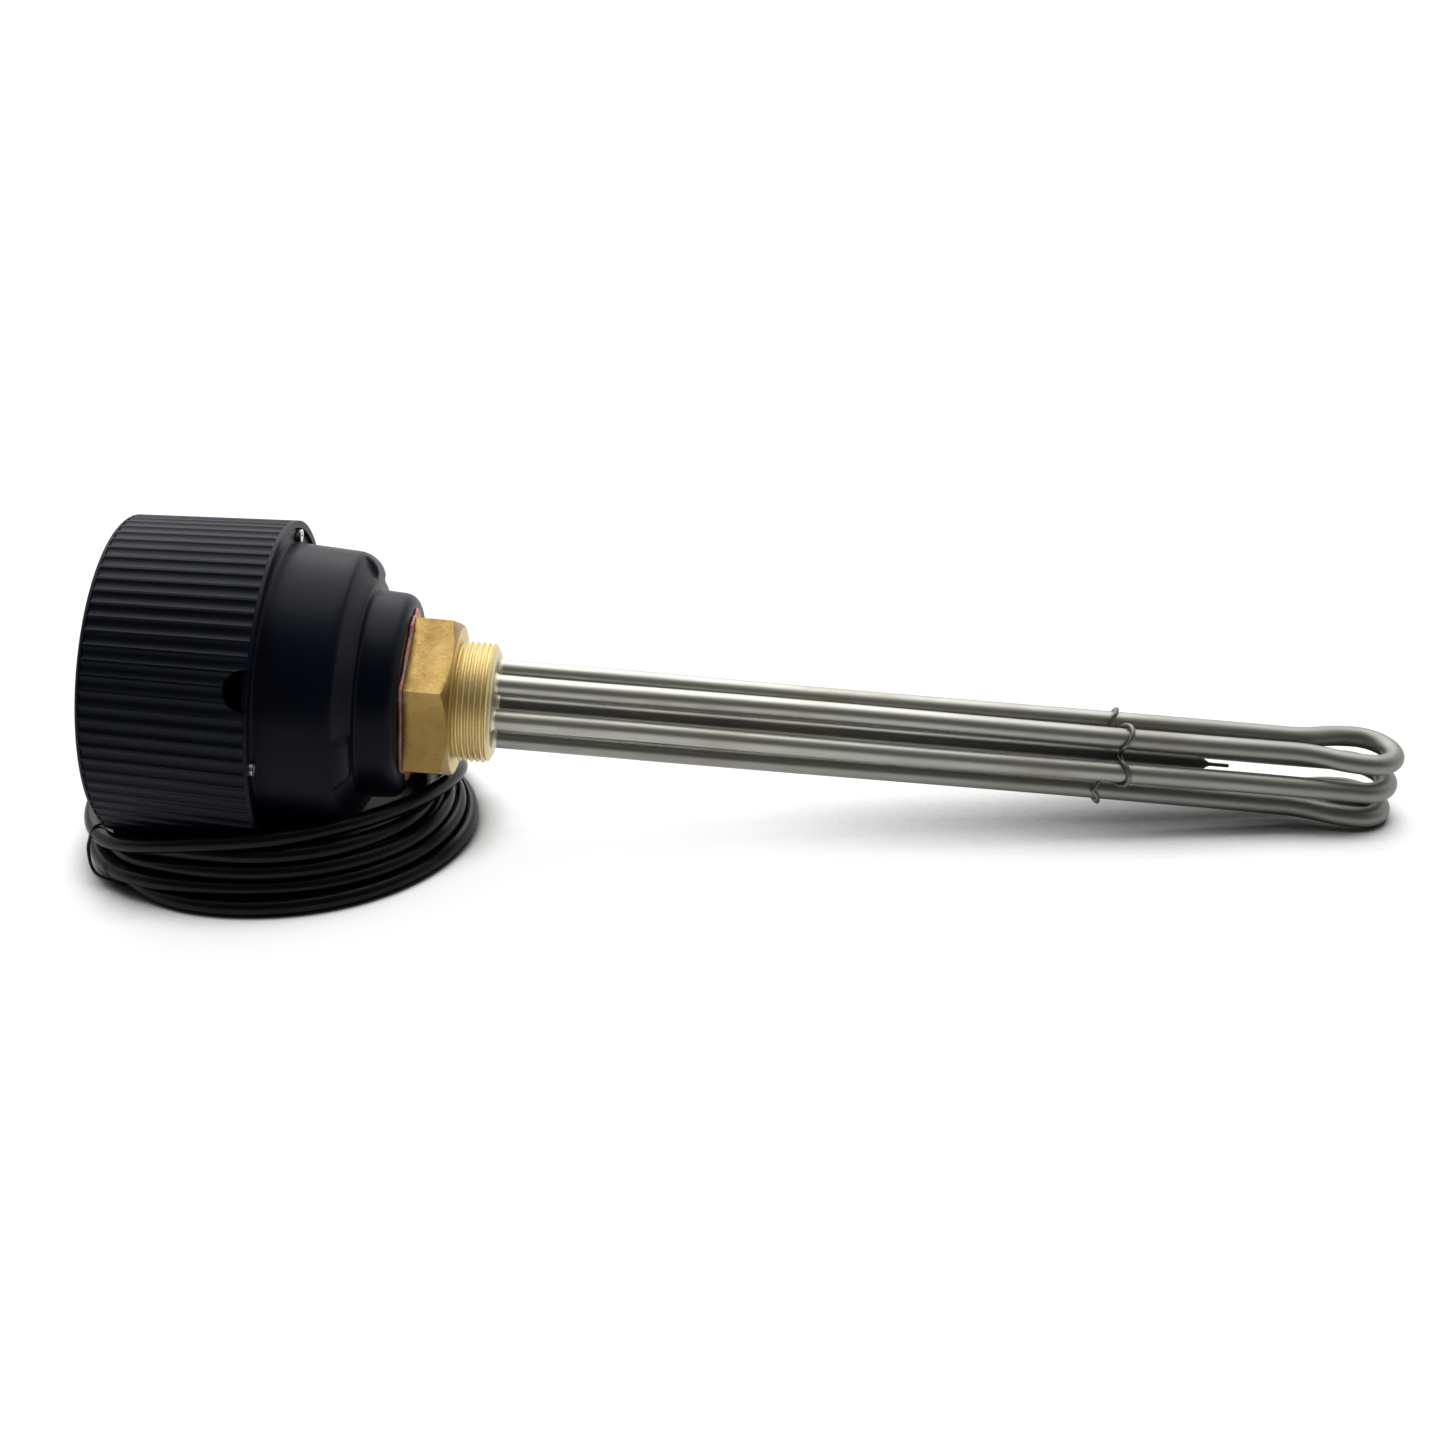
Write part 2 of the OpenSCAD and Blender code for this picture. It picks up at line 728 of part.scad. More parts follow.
terminal_x = [for (k = [-1:1]) k * block_w / 3];

module terminal_block() color([0.85, 0.84, 0.8]) laid() difference() {
    translate([-block_w / 2, block_at - block_d / 2, block_back])
        cube([block_w, block_d, block_h]);
    for (x = terminal_x)
        translate([x, block_at - block_d / 4, block_back - over])
            cylinder(r = 2 + seat, h = 6 + over);
}

module terminal_screws() color([0.75, 0.6, 0.32]) laid()
    for (x = terminal_x)
        translate([x, block_at - block_d / 4, block_back])
            cylinder(r = 2, h = 6 - seat);

// Inner wires, each from the block to the piece that it feeds
wire_r = 1.3;
wire_side = plate_w / 2 + 8;
block_wire_y = block_at + block_d / 4;
function from_block(k) = [
    [terminal_x[k], block_wire_y, block_back - 2 * seat],
    [terminal_x[k], block_wire_y, block_back - 6]];

module wire(points, ref = [1, 0, 0]) {
    tube(smooth(points, 4), wire_r, 8, ref);
}

module wire_live() color([0.42, 0.22, 0.1]) laid()
    wire(concat(from_block(1), [[2, 31, thermostat_back - 4], [5, 23, thermostat_back - 13],
        [8, 13, thermostat_back - 13], [9, 7, thermostat_back - 7],
        [9, 7, thermostat_back - 2 * seat]]));

module wire_switched() color([0.1, 0.1, 0.11]) laid()
    wire([[4, -thermostat_d / 2 - 2 * seat, plate_back - 16],
        [4, -thermostat_d / 2 - 5, plate_back - 16],
        [4, -24, plate_back - 8], [4, -24, plate_back + 4],
        [2, -25, link_back - 4], [0, -23, link_back + link_t / 2],
        [0, -leg_circle_r - 4 - 0.4, link_back + link_t / 2]]);

module wire_neutral() color([0.1, 0.25, 0.6]) laid()
    wire(concat(from_block(2), [[wire_side - 8, block_wire_y, block_back - 8],
        [wire_side - 1, block_wire_y - 4, block_back + 2], [wire_side, block_wire_y - 9, plate_back],
        [wire_side - 3, block_wire_y - 13, link_back - 8], [19, 17, link_back - 1],
        [(leg_circle_r + 4.5) * cos(45), (leg_circle_r + 4.5) * sin(45), link_back + link_t / 2]]),
        ref = [0, 1, 0]);

module wire_earth() color([0.35, 0.6, 0.15]) laid()
    wire(concat(from_block(0), [[terminal_x[0] - 4, block_wire_y - 2, block_back - 16],
        [1 - wire_side, block_wire_y - 14, block_back - 21], [-wire_side - 4, 2, block_back - 20],
        [-wire_side - 1, earth_at.y + 12, block_back - 15],
        [earth_at.x - 9, earth_at.y + 1, block_back - 6],
        [earth_at.x, earth_at.y, plate_back - 8],
        [earth_at.x, earth_at.y, plate_back - seat - screw_cap_h - 2 * seat]]));

// Cable: its bush, the lead from the bush to the coil, the coil, and the free end
bore_r = cable_d / 2 + slip;
bush_out = cap_r(back_entry_z + entry_d / 2 + 2) + 2 * seat;
bush_tip = bush_out + bush_len;

module bush_profile() {
    flange = 2.3;
    neck_r = entry_d / 2 - 2 * seat;
    inside = cap_r(back_entry_z) - cap_wall - 1;
    polygon([[bore_r, inside - flange], [neck_r + 1.5, inside - flange], [neck_r + 1.5, inside],
        [neck_r, inside], [neck_r, bush_out], [neck_r + 2, bush_out],
        [neck_r + 2, bush_out + flange], [neck_r, bush_out + flange],
        [bore_r + 1.2, bush_tip], [bore_r, bush_tip]]);
}

module cable_bush() color([0.04, 0.04, 0.045]) laid()
    radially(back_entry_angle, back_entry_z)
        rotate_extrude() bush_profile();

function in_bush(s) = lay(around(back_entry_angle, s, back_entry_z));
lead_start = bush_out - 18;
bush_end = in_bush(bush_tip + 2);

// The lead swings round in a level arc while it sinks to the floor, then runs to the coil
floor_z = cable_d / 2;
swing_r = 37;
swing_run = 118;
function sink(a) = floor_z + (bush_end.z - floor_z) * pow(1 - swing_r * a * PI / 180 / swing_run, 2);
lead_swing = [for (a = [25:25:175])
    [bush_end.x - swing_r + swing_r * cos(a), bush_end.y + swing_r * sin(a), sink(a)]];
lead_route = concat([in_bush(lead_start), in_bush(bush_out), in_bush(bush_tip - 6), bush_end],
    lead_swing, [[-276.5, 66, floor_z], [-275, 46, floor_z], [-271, 26, floor_z],
    [-266.6, 7, floor_z]]);
tail_route = [[-140.2, 55.4, 7], [-147, 60.5, 5.6], [-156, 66, 4.2], [-168, 69.4, floor_z],
    [-183, 70.4, floor_z], [-201, 70.4, floor_z]];
core_ends = [[-229, 65, 2], [-231, 71, 2], [-228, 78, 2]];

module cord_lead() color([0.03, 0.03, 0.035])
    tube(smooth(lead_route, 2), cable_d / 2, 10);

module cord_tail() color([0.03, 0.03, 0.035])
    tube(smooth(tail_route, 2), cable_d / 2, 10);

module cord_cores() color([0.4, 0.3, 0.2]) {
    start = tail_route[len(tail_route) - 1];
    for (k = [0:2]) {
        side = 1.8 * (k - 1);
        root = start + [-2 * seat, side, k == 1 ? 1.3 : -1.1];
        tube(smooth([root, root + [-8, side / 2, 0], core_ends[k]], 3), 0.95, 8);
    }
}

// The coil's middle, and the section of its bundle measured inwards from its outer side
coil_x = -189;
coil_y = -3;

module bundle_profile() {
    polygon([[coil_r, 0], [coil_r, bundle_h * 0.42], [coil_r - bundle_w * 0.4, bundle_h],
        [coil_r - bundle_w * 0.75, bundle_h], [coil_r - bundle_w, bundle_h * 0.5],
        [coil_r - bundle_w * 0.75, 0]]);
}

module coil_ring() {
    for (side = [0, 1])
        mirror([side, 0, 0])
            translate([coil_side / 2, 0, 0])
                rotate([0, 0, -90])
                    rotate_extrude(angle = 180) bundle_profile();
    for (side = [0, 1])
        mirror([0, side, 0])
            translate([-coil_side / 2, 0, 0])
                rotate([90, 0, 90])
                    linear_extrude(coil_side) bundle_profile();
}

// Room that the head takes out of the coil
module head_room() {
    translate([0, 0, cap_end - slip])
        cylinder(r1 = cap_end_r + slip, r2 = cap_rim_r + slip, h = cap_len + 2 * slip);
    translate([0, 0, cap_rim])
        cylinder(r = barrel_r + slip, h = collar_back - cap_rim + slip);
    translate([0, 0, collar_back])
        cylinder(r = collar_r + slip, h = base_front - collar_back + slip);
    translate([0, 0, base_front])
        cylinder(r = hex_corner_r + slip, h = over - base_front);
}

// The tie's loop, and the waist that it pulls into the coil
tie_angle = 216;
tie_gap = 0.4;
tie_in = tie_d / 2 + tie_gap;
tie_loop = [[coil_r - tie_in, tie_d / 2 + tie_in], [coil_r - tie_in, bundle_h * 0.36],
    [coil_r - bundle_w * 0.32, bundle_h * 0.7], [coil_r - bundle_w * 0.6, bundle_h * 0.58],
    [coil_r - bundle_w * 0.78, bundle_h * 0.45], [coil_r - bundle_w * 0.72, tie_d / 2 + tie_in],
    [coil_r - bundle_w * 0.66, tie_d / 2], [coil_r - 3 * tie_in, tie_d / 2]];

module at_tie() {
    translate([coil_x - coil_side / 2, coil_y, 0])
        rotate([0, 0, tie_angle])
            children();
}

module waist() {
    rotate([90, 0, 0])
        linear_extrude(2 * tie_d, center = true)
            difference() {
                translate([coil_r - bundle_w - over, -over])
                    square([bundle_w + 2 * over, bundle_h + 2 * over]);
                offset(delta = -tie_in) polygon(tie_loop);
            }
}

module cord_coil() color([0.03, 0.03, 0.035]) difference() {
    translate([coil_x, coil_y, 0])
        coil_ring();
    laid() head_room();
    at_tie() waist();
}

module cord_tie() color([0.02, 0.02, 0.02]) at_tie()
    tube([for (p = tie_loop) [p.x, 0, p.y]], tie_d / 2, 8, ref = [0, 1, 0], closed = true);

cover_cap();
cover_seal();
cover_screws();
terminal_base();
lock_nut();
plug_gasket();
screw_plug();
heating_element_upper();
heating_element_middle();
heating_element_lower();
thermowell();
element_clip();
pin_insulators();
terminal_pins();
pin_links();
pin_nuts();
thermostat_bracket();
bracket_screws();
thermostat_body();
thermostat_stem();
thermostat_spindle();
temperature_knob();
pilot_lamp();
terminal_block();
terminal_screws();
earth_screw();
wire_live();
wire_switched();
wire_neutral();
wire_earth();
cable_bush();
cord_lead();
cord_coil();
cord_tail();
cord_cores();
cord_tie();
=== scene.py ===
import math
import bpy
import numpy as np
from mathutils import Matrix, Vector


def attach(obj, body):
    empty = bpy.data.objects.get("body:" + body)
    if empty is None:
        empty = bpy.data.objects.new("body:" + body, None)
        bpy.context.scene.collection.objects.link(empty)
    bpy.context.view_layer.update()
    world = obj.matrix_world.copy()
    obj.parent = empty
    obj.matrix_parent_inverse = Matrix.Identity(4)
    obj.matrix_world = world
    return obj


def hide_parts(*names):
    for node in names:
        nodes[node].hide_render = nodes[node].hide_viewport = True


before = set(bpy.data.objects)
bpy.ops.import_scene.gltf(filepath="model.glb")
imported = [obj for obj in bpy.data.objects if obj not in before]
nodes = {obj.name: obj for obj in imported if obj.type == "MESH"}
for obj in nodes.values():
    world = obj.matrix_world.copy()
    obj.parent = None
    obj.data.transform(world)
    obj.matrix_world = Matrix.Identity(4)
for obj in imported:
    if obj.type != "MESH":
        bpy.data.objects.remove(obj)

scene = bpy.context.scene
scene.view_settings.view_transform = "Standard"
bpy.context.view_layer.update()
print("frame loaded,", len(nodes), "CAD nodes")

# The heater's own frame: x along its axis to the tip, y to the back, z up; 0 is just ahead of the hexagon
lie = {"tilt": math.radians(6.45448241), "axisX": -114.08596, "axisH": 57.35075}
ct, st = math.cos(lie["tilt"]), math.sin(lie["tilt"])
headMatrix = Matrix(((ct, 0, st, lie["axisX"] / 1000), (0, 1, 0, 0), (-st, 0, ct, lie["axisH"] / 1000), (0, 0, 0, 1)))


def axisPoint(along, up=0.0, back=0.0):
    return np.array([lie["axisX"] + along * ct + up * st, back, lie["axisH"] + up * ct - along * st])


# Camera at the photograph's place
view = {"place": (0.01766, -0.65432, 0.38232), "lens": 46.08, "sensor": 36.0, "clip": (0.01, 50.0),
        "right": (0.99913383, 0.02746349, -0.03126265), "up": (0.01522701, 0.45788106, 0.88888305),
        "ahead": (-0.03872641, 0.88858916, -0.45706627)}
camera = bpy.data.objects.new("camera", bpy.data.cameras.new("camera"))
camera.data.lens, camera.data.sensor_width = view["lens"], view["sensor"]
camera.data.clip_start, camera.data.clip_end = view["clip"]
turned = Matrix((view["right"], view["up"], [-k for k in view["ahead"]])).transposed().to_4x4()
camera.matrix_world = Matrix.Translation(view["place"]) @ turned
scene.collection.objects.link(camera)
scene.camera = camera
print("camera set")


# Shader sums: a Wire is one socket of a material, and arithmetic on it adds Math nodes
class Wire:
    def __init__(self, tree, socket=None):
        self.tree, self.socket = tree, socket

    def node(self, kind, settings=None, inputs=None, out=0):
        made = self.tree.nodes.new("ShaderNode" + kind)
        for key, value in (settings or {}).items():
            setattr(made, key, value)
        for key, value in (inputs or {}).items():
            if isinstance(value, Wire):
                self.tree.links.new(value.socket, made.inputs[key])
            else:
                made.inputs[key].default_value = value
        return Wire(self.tree, made.outputs[out] if len(made.outputs) else None)

    def sum(self, operation, *terms):
        return self.node("Math", {"operation": operation}, dict(enumerate(terms)))

    def __add__(self, other): return self.sum("ADD", self, other)
    def __radd__(self, other): return self.sum("ADD", other, self)
    def __sub__(self, other): return self.sum("SUBTRACT", self, other)
    def __rsub__(self, other): return self.sum("SUBTRACT", other, self)
    def __mul__(self, other): return self.sum("MULTIPLY", self, other)
    def __rmul__(self, other): return self.sum("MULTIPLY", other, self)

    def step(self, low, high):  # smooth rise from 0 at low to 1 at high
        return self.node("MapRange", {"interpolation_type": "SMOOTHSTEP"},
                         {"Value": self, "From Min": low, "From Max": high})

    def blend(self, share, first, second):
        return self.node("Mix", {"data_type": "RGBA"}, {0: share, 6: first, 7: second}, 2)

    def place(self, size=(1, 1, 1), laid=False):  # object coordinates, in the heater's frame where laid
        spot = self.node("TexCoord", out="Object")
        turn = (0, lie["tilt"], 0) if laid else (0, 0, 0)
        return self.node("Mapping", {"vector_type": "TEXTURE"} if laid else {},
                         {"Vector": spot, "Rotation": turn,
                          "Scale": [1 / k for k in size] if laid else size})

    def noise(self, spot, scale, detail=3.0, rough=0.5):
        return self.node("TexNoise", {}, {"Vector": spot, "Scale": scale, "Detail": detail, "Roughness": rough})

    def axis(self, spot, letter):  # one coordinate of a place
        return self.node("SeparateXYZ", {}, {"Vector": spot}, letter)

    def bump(self, strength, distance, height):
        return self.node("Bump", {}, {"Strength": strength, "Distance": distance, "Height": height})


def tint(red, green, blue):  # a colour as it reads on screen, 0 to 255
    return tuple(k / 12.92 if k < 0.04045 else ((k + 0.055) / 1.055) ** 2.4
                 for k in (red / 255, green / 255, blue / 255)) + (1.0,)


def startFinish(name):
    made = bpy.data.materials.new(name)
    made.use_nodes = True
    made.node_tree.nodes.clear()
    return made, Wire(made.node_tree)


def endFinish(made, wire, sockets):
    wire.node("OutputMaterial", {}, {"Surface": wire.node("BsdfPrincipled", {}, sockets)})
    return made


# Moulded plastic and rubber: fine spark grain, cloudy gloss, a little pale dust and rubbing
def moulded(name, look):
    made, w = startFinish(name)
    spot = w.place()
    grain = w.noise(spot, look["grain"], 2.0)
    cloud = w.noise(spot, look["cloud"], 4.0)
    dust = w.noise(spot, look["cloud"] * 9, 5.0, 0.65).step(0.56, 0.8) * look["dust"]
    colour = w.blend(cloud.step(0.3, 0.7), look["dark"], look["light"])
    return endFinish(made, w, {
        "Base Color": w.blend(dust, colour, look["dusty"]),
        "Roughness": look["rough"] + (cloud - 0.5) * look["patchy"] + dust * 0.2,
        "Specular IOR Level": look["shine"], "IOR": 1.5,
        "Normal": w.bump(look["relief"], 0.00012, grain + 0.6 * w.noise(spot, look["grain"] * 0.35, 2.0))})


# Machined or stamped metal: fine skin, darker tarnish in patches, brushed along one direction
def metal(name, look):
    made, w = startFinish(name)
    spot = w.place()
    skin = w.noise(spot, look["skin"], 4.0, 0.6)
    lines = w.noise(w.place(look["brush"], laid=True), 900.0, 3.0)
    patch = w.noise(spot, look["patch"], 5.0, 0.6).step(0.42, 0.72)
    colour = w.blend(patch * look["tarnish"], look["bright"], look["dull"])
    return endFinish(made, w, {
        "Base Color": w.blend((skin - 0.45) * look["mottle"] * 2, colour, look["dull"]),
        "Metallic": 1.0,
        "Roughness": look["rough"] + patch * 0.12 + (lines - 0.5) * 0.14 + (skin - 0.5) * 0.16,
        "Normal": w.bump(look["relief"], 0.0001, skin * look["pits"] + lines * look["scratch"])})


# Drawn and annealed sheath steel: long draw lines, straw and brown oxide stains, darker at the far bend
def sheathSteel(name, look):
    made, w = startFinish(name)
    spot = w.place()
    draw = w.noise(w.place((0.025, 1, 1)), 1500.0, 4.0)
    fine = w.noise(spot, 2600.0, 2.0)
    stain = w.noise(w.place((0.35, 1, 1)), look["stain"], 5.0, 0.62).step(0.52, 0.78)
    along = w.axis(spot, "X")
    far = along.step(look["farFrom"], look["farTo"])
    mottle = w.noise(w.place((0.5, 1, 1)), 60.0, 5.0, 0.6)
    clean = w.blend((mottle - 0.35) * 1.2, look["bright"], look["grey"])
    colour = w.blend(stain * look["stained"], clean, look["straw"])
    colour = w.blend(w.noise(spot, 210.0, 4.0, 0.7).step(0.64, 0.8) * 0.45, colour, look["brown"])
    return endFinish(made, w, {
        "Base Color": w.blend(far * look["farShare"], colour, look["farTone"]),
        "Metallic": 1.0,
        "Roughness": look["rough"] + (mottle - 0.5) * 0.16 + stain * 0.08 + (draw - 0.5) * 0.1 + far * 0.06,
        "Normal": w.bump(0.22, 0.00006, draw + fine * 0.4)})


# Supply cable sheath: extruded, faint long drag marks, wiped gloss
def sheathing(name, look):
    made, w = startFinish(name)
    spot = w.place()
    wipe = w.noise(spot, 70.0, 4.0, 0.6)
    fine = w.noise(spot, 3200.0, 2.0)
    return endFinish(made, w, {
        "Base Color": w.blend(wipe.step(0.4, 0.75), look["dark"], look["light"]),
        "Roughness": look["rough"] + (wipe - 0.5) * 0.2,
        "Specular IOR Level": look["shine"],
        "Normal": w.bump(0.12, 0.0001, fine + wipe * 0.5)})


# Silicone gasket: soft, slightly see-through pink, chalky where it is pinched
def silicone(name, look):
    made, w = startFinish(name)
    spot = w.place()
    cloud = w.noise(spot, 160.0, 4.0)
    return endFinish(made, w, {
        "Base Color": w.blend(cloud.step(0.35, 0.7), look["deep"], look["pale"]),
        "Roughness": 0.42 + (cloud - 0.5) * 0.2, "Specular IOR Level": 0.4,
        "Subsurface Weight": 0.25, "Subsurface Radius": (0.002, 0.0008, 0.0006), "Subsurface Scale": 0.5,
        "Normal": w.bump(0.3, 0.0002, w.noise(spot, 700.0, 3.0))})


# Lamp lens: clear red plastic with a fine fresnel grain
def lensRed(name, look):
    made, w = startFinish(name)
    rings = w.noise(w.place(), 900.0, 2.0)
    return endFinish(made, w, {
        "Base Color": w.blend(rings, look["deep"], look["pale"]),
        "Roughness": 0.08 + rings * 0.1, "Coat Weight": 0.6, "Specular IOR Level": 0.5,
        "Normal": w.bump(0.15, 0.0002, rings)})


# Core and wire insulation, banded on the slant where a second colour is given
def insulation(name, look):
    made, w = startFinish(name)
    spot = w.place()
    cloud = w.noise(spot, 240.0, 3.0)
    worn = tuple(k * 0.6 for k in look["first"][:3]) + (1.0,)
    colour = w.blend(cloud * 0.35, look["first"], worn)
    if "second" in look:
        band = w.node("TexWave", {"wave_type": "BANDS", "bands_direction": "DIAGONAL"},
                      {"Vector": spot, "Scale": 62.0, "Distortion": 0.0}, "Fac")
        colour = w.blend(band.step(0.46, 0.54), colour, look["second"])
    return endFinish(made, w, {
        "Base Color": colour, "Roughness": 0.36 + (cloud - 0.5) * 0.16, "Specular IOR Level": 0.4,
        "Normal": w.bump(0.1, 0.0001, w.noise(spot, 2200.0, 2.0))})


plastic = {"dark": (0.0024, 0.0036, 0.0098, 1), "light": (0.0038, 0.0054, 0.0135, 1), "dusty": (0.05, 0.05, 0.056, 1),
           "grain": 1900.0, "cloud": 26.0, "dust": 0.08, "rough": 0.44, "patchy": 0.10, "shine": 0.13, "relief": 0.10}
brassLook = {"bright": (0.43, 0.285, 0.095, 1), "dull": (0.27, 0.165, 0.05, 1), "skin": 520.0, "patch": 55.0,
             "brush": (1, 0.06, 0.06), "tarnish": 0.75, "mottle": 0.5, "rough": 0.36, "relief": 0.35,
             "pits": 1.0, "scratch": 0.35}
steelLook = {"bright": (0.60, 0.60, 0.57, 1), "dull": (0.36, 0.36, 0.34, 1), "skin": 900.0, "patch": 120.0,
             "brush": (1, 0.1, 0.1), "tarnish": 0.5, "mottle": 0.3, "rough": 0.3, "relief": 0.2,
             "pits": 0.6, "scratch": 0.5}
tubeLook = {"bright": (0.44, 0.435, 0.395, 1), "grey": (0.32, 0.315, 0.283, 1), "straw": (0.29, 0.255, 0.19, 1),
            "brown": (0.17, 0.13, 0.09, 1), "farTone": (0.20, 0.197, 0.182, 1), "farFrom": 0.06, "farTo": 0.40,
            "farShare": 0.85, "stain": 34.0, "stained": 0.6, "rough": 0.41}


def like(base, **changes):
    return {**base, **changes}


# Plug brass: hot stamped skin on the hexagon, paler cut metal on the neck, thread and end face, and painted shade on
# the plug's lower side
def plugBrass(name, look):
    made, w = startFinish(name)
    spot = w.place()
    along = w.axis(spot, "X")
    cut = along.step(*look["cutFrom"])
    solder = along.step(*look["solderFrom"])
    skin = w.noise(spot, 420.0, 6.0, 0.68)
    pits = w.node("TexVoronoi", {"feature": "F1"}, {"Vector": spot, "Scale": 900.0}, "Distance")
    patch = w.noise(spot, 60.0, 5.0, 0.6).step(0.38, 0.72)
    rings = w.noise(w.place((1, 0.03, 0.03)), 2400.0, 2.0)
    rolled = w.noise(w.place((0.05, 1, 1)), 700.0, 3.0)
    # painted shade: faces low on the plug are blended towards the dull brass colour, the more the lower they lie
    under = w.axis(spot, "Z").step(*look["paintedShadeBelowFrom"])
    stamped = w.blend(patch * look["tarnish"], look["bright"], look["dull"])
    stamped = w.blend(under * look["under"], stamped, look["dull"])
    stamped = w.blend(skin.step(0.56, 0.74) * 0.55, stamped, look["deep"])
    turned = w.blend(rings * 0.6, look["fresh"], look["freshDull"])
    turned = w.blend(solder * 0.75, turned, look["solder"])
    rough = ((1 - cut) * (look["rough"] + patch * 0.10 + (skin - 0.5) * 0.3)
             + cut * (look["cutRough"] + rings * 0.1))
    height = (1 - cut) * (skin * 0.9 + pits * 0.5 + rolled * 0.25) + cut * (rings * 0.35)
    return endFinish(made, w, {
        "Base Color": w.blend(cut, stamped, turned), "Metallic": 1.0, "Roughness": rough,
        "Normal": w.bump(0.42, 0.00016, height)})


looks = {
    "coverBlack": (moulded, plastic),
    "baseBlack": (moulded, like(plastic, rough=0.38, dust=0.05, relief=0.06, cloud=18.0, shine=0.10)),
    "knobBlack": (moulded, like(plastic, rough=0.34, dust=0.06)),
    "sealRubber": (moulded, like(plastic, dark=(0.02, 0.02, 0.02, 1), light=(0.03, 0.03, 0.03, 1), rough=0.6)),
    "bushRubber": (moulded, like(plastic, rough=0.5, shine=0.18)),
    "blockWhite": (moulded, like(plastic, dark=(0.55, 0.54, 0.49, 1), light=(0.64, 0.63, 0.58, 1),
                                 dusty=(0.4, 0.38, 0.33, 1), shine=0.4)),
    "housingGrey": (moulded, like(plastic, dark=(0.03, 0.03, 0.032, 1), light=(0.045, 0.045, 0.048, 1),
                                  shine=0.35)),
    "ceramic": (moulded, like(plastic, dark=(0.62, 0.60, 0.54, 1), light=(0.72, 0.70, 0.65, 1),
                              dusty=(0.5, 0.46, 0.4, 1), shine=0.5, rough=0.3)),
    "printWhite": (moulded, like(plastic, dark=(0.66, 0.66, 0.64, 1), light=(0.74, 0.74, 0.72, 1),
                                 dusty=(0.5, 0.5, 0.48, 1), rough=0.5)),
    "tieBlack": (sheathing, {"dark": (0.010, 0.010, 0.011, 1), "light": (0.016, 0.016, 0.018, 1),
                             "rough": 0.35, "shine": 0.45}),
    "cableBlack": (sheathing, {"dark": (0.0018, 0.0023, 0.0044, 1), "light": (0.0036, 0.0042, 0.0072, 1),
                               "rough": 0.30, "shine": 0.15}),
    "brass": (plugBrass, {"bright": (0.36, 0.245, 0.085, 1), "dull": (0.22, 0.14, 0.042, 1),
                          "deep": (0.13, 0.08, 0.026, 1), "fresh": (0.80, 0.67, 0.37, 1),
                          "freshDull": (0.60, 0.47, 0.22, 1), "solder": (0.74, 0.70, 0.58, 1),
                          "tarnish": 0.7, "rough": 0.36, "cutRough": 0.47, "cutFrom": (-0.0014, -0.0009),
                          # painted shade on the plug's lower side: its height span and strength are the last two
                          # settings
                          "solderFrom": (0.0130, 0.0137), "paintedShadeBelowFrom": (0.021, 0.005), "under": 0.85}),
    "linkBrass": (metal, brassLook),
    "nickel": (metal, like(steelLook, bright=(0.88, 0.87, 0.84, 1), dull=(0.7, 0.69, 0.66, 1),
                           rough=0.36, tarnish=0.2)),
    "zincSteel": (metal, steelLook),
    "clipSteel": (metal, like(steelLook, bright=(0.17, 0.167, 0.157, 1), dull=(0.09, 0.088, 0.082, 1), rough=0.38)),
    "copperStem": (metal, like(brassLook, bright=(0.62, 0.36, 0.22, 1), dull=(0.38, 0.2, 0.11, 1))),
    "tubeSteel": (sheathSteel, tubeLook),
    # painted shade: a darker copy of the tube steel for the lower element, which lies in the shade of the tubes above
    # it
    "tubeSteelShaded": (sheathSteel, like(tubeLook, bright=(0.29, 0.286, 0.26, 1), grey=(0.20, 0.197, 0.178, 1),
                                       straw=(0.2, 0.175, 0.13, 1))),
    # painted shade: a still darker copy of the tube steel for the thermowell, which sits in the shade between the
    # tubes; darker again towards its far end
    "wellSteelShaded": (sheathSteel, like(tubeLook, bright=(0.20, 0.195, 0.18, 1), grey=(0.13, 0.127, 0.115, 1),
                                    farTone=(0.05, 0.048, 0.044, 1), farFrom=0.15, farTo=0.29, rough=0.36)),
    "gasketPink": (silicone, {"deep": tint(232, 152, 144), "pale": tint(252, 212, 204)}),
    "lensRed": (lensRed, {"deep": (0.5, 0.012, 0.008, 1), "pale": (0.62, 0.03, 0.02, 1)}),
    "wireBrown": (insulation, {"first": (0.12, 0.045, 0.018, 1)}),
    "wireBlack": (insulation, {"first": (0.012, 0.012, 0.013, 1)}),
    "wireBlue": (insulation, {"first": (0.02, 0.07, 0.34, 1)}),
    "wireGreen": (insulation, {"first": (0.05, 0.22, 0.03, 1), "second": (0.62, 0.50, 0.03, 1)}),
}
finishes = {name: maker(name, look) for name, (maker, look) in looks.items()}
print("finishes made:", len(finishes))


# Mesh helpers: rings of points joined into a skin, and a tube swept along a line; all in mm
def fullTurn(steps):
    return np.linspace(0, 2 * math.pi, steps, endpoint=False)


def ringsAbout(turn, profile):  # rings about the heater's axis from (along, radius) pairs
    return [np.stack([np.broadcast_to(x, turn.shape), -r * np.cos(turn), r * np.sin(turn)], 1) for x, r in profile]


def ringSkin(rings, closed=False, capped=True):
    count = len(rings[0])
    points = np.concatenate(rings)
    faces = []
    last = len(rings) if closed else len(rings) - 1
    for row in range(last):
        a, b = row * count, ((row + 1) % len(rings)) * count
        for k in range(count):
            n = (k + 1) % count
            faces.append((a + k, a + n, b + n, b + k))
    if capped and not closed:
        faces.append(tuple(range(count - 1, -1, -1)))
        faces.append(tuple(range(len(points) - count, len(points))))
    return points, faces


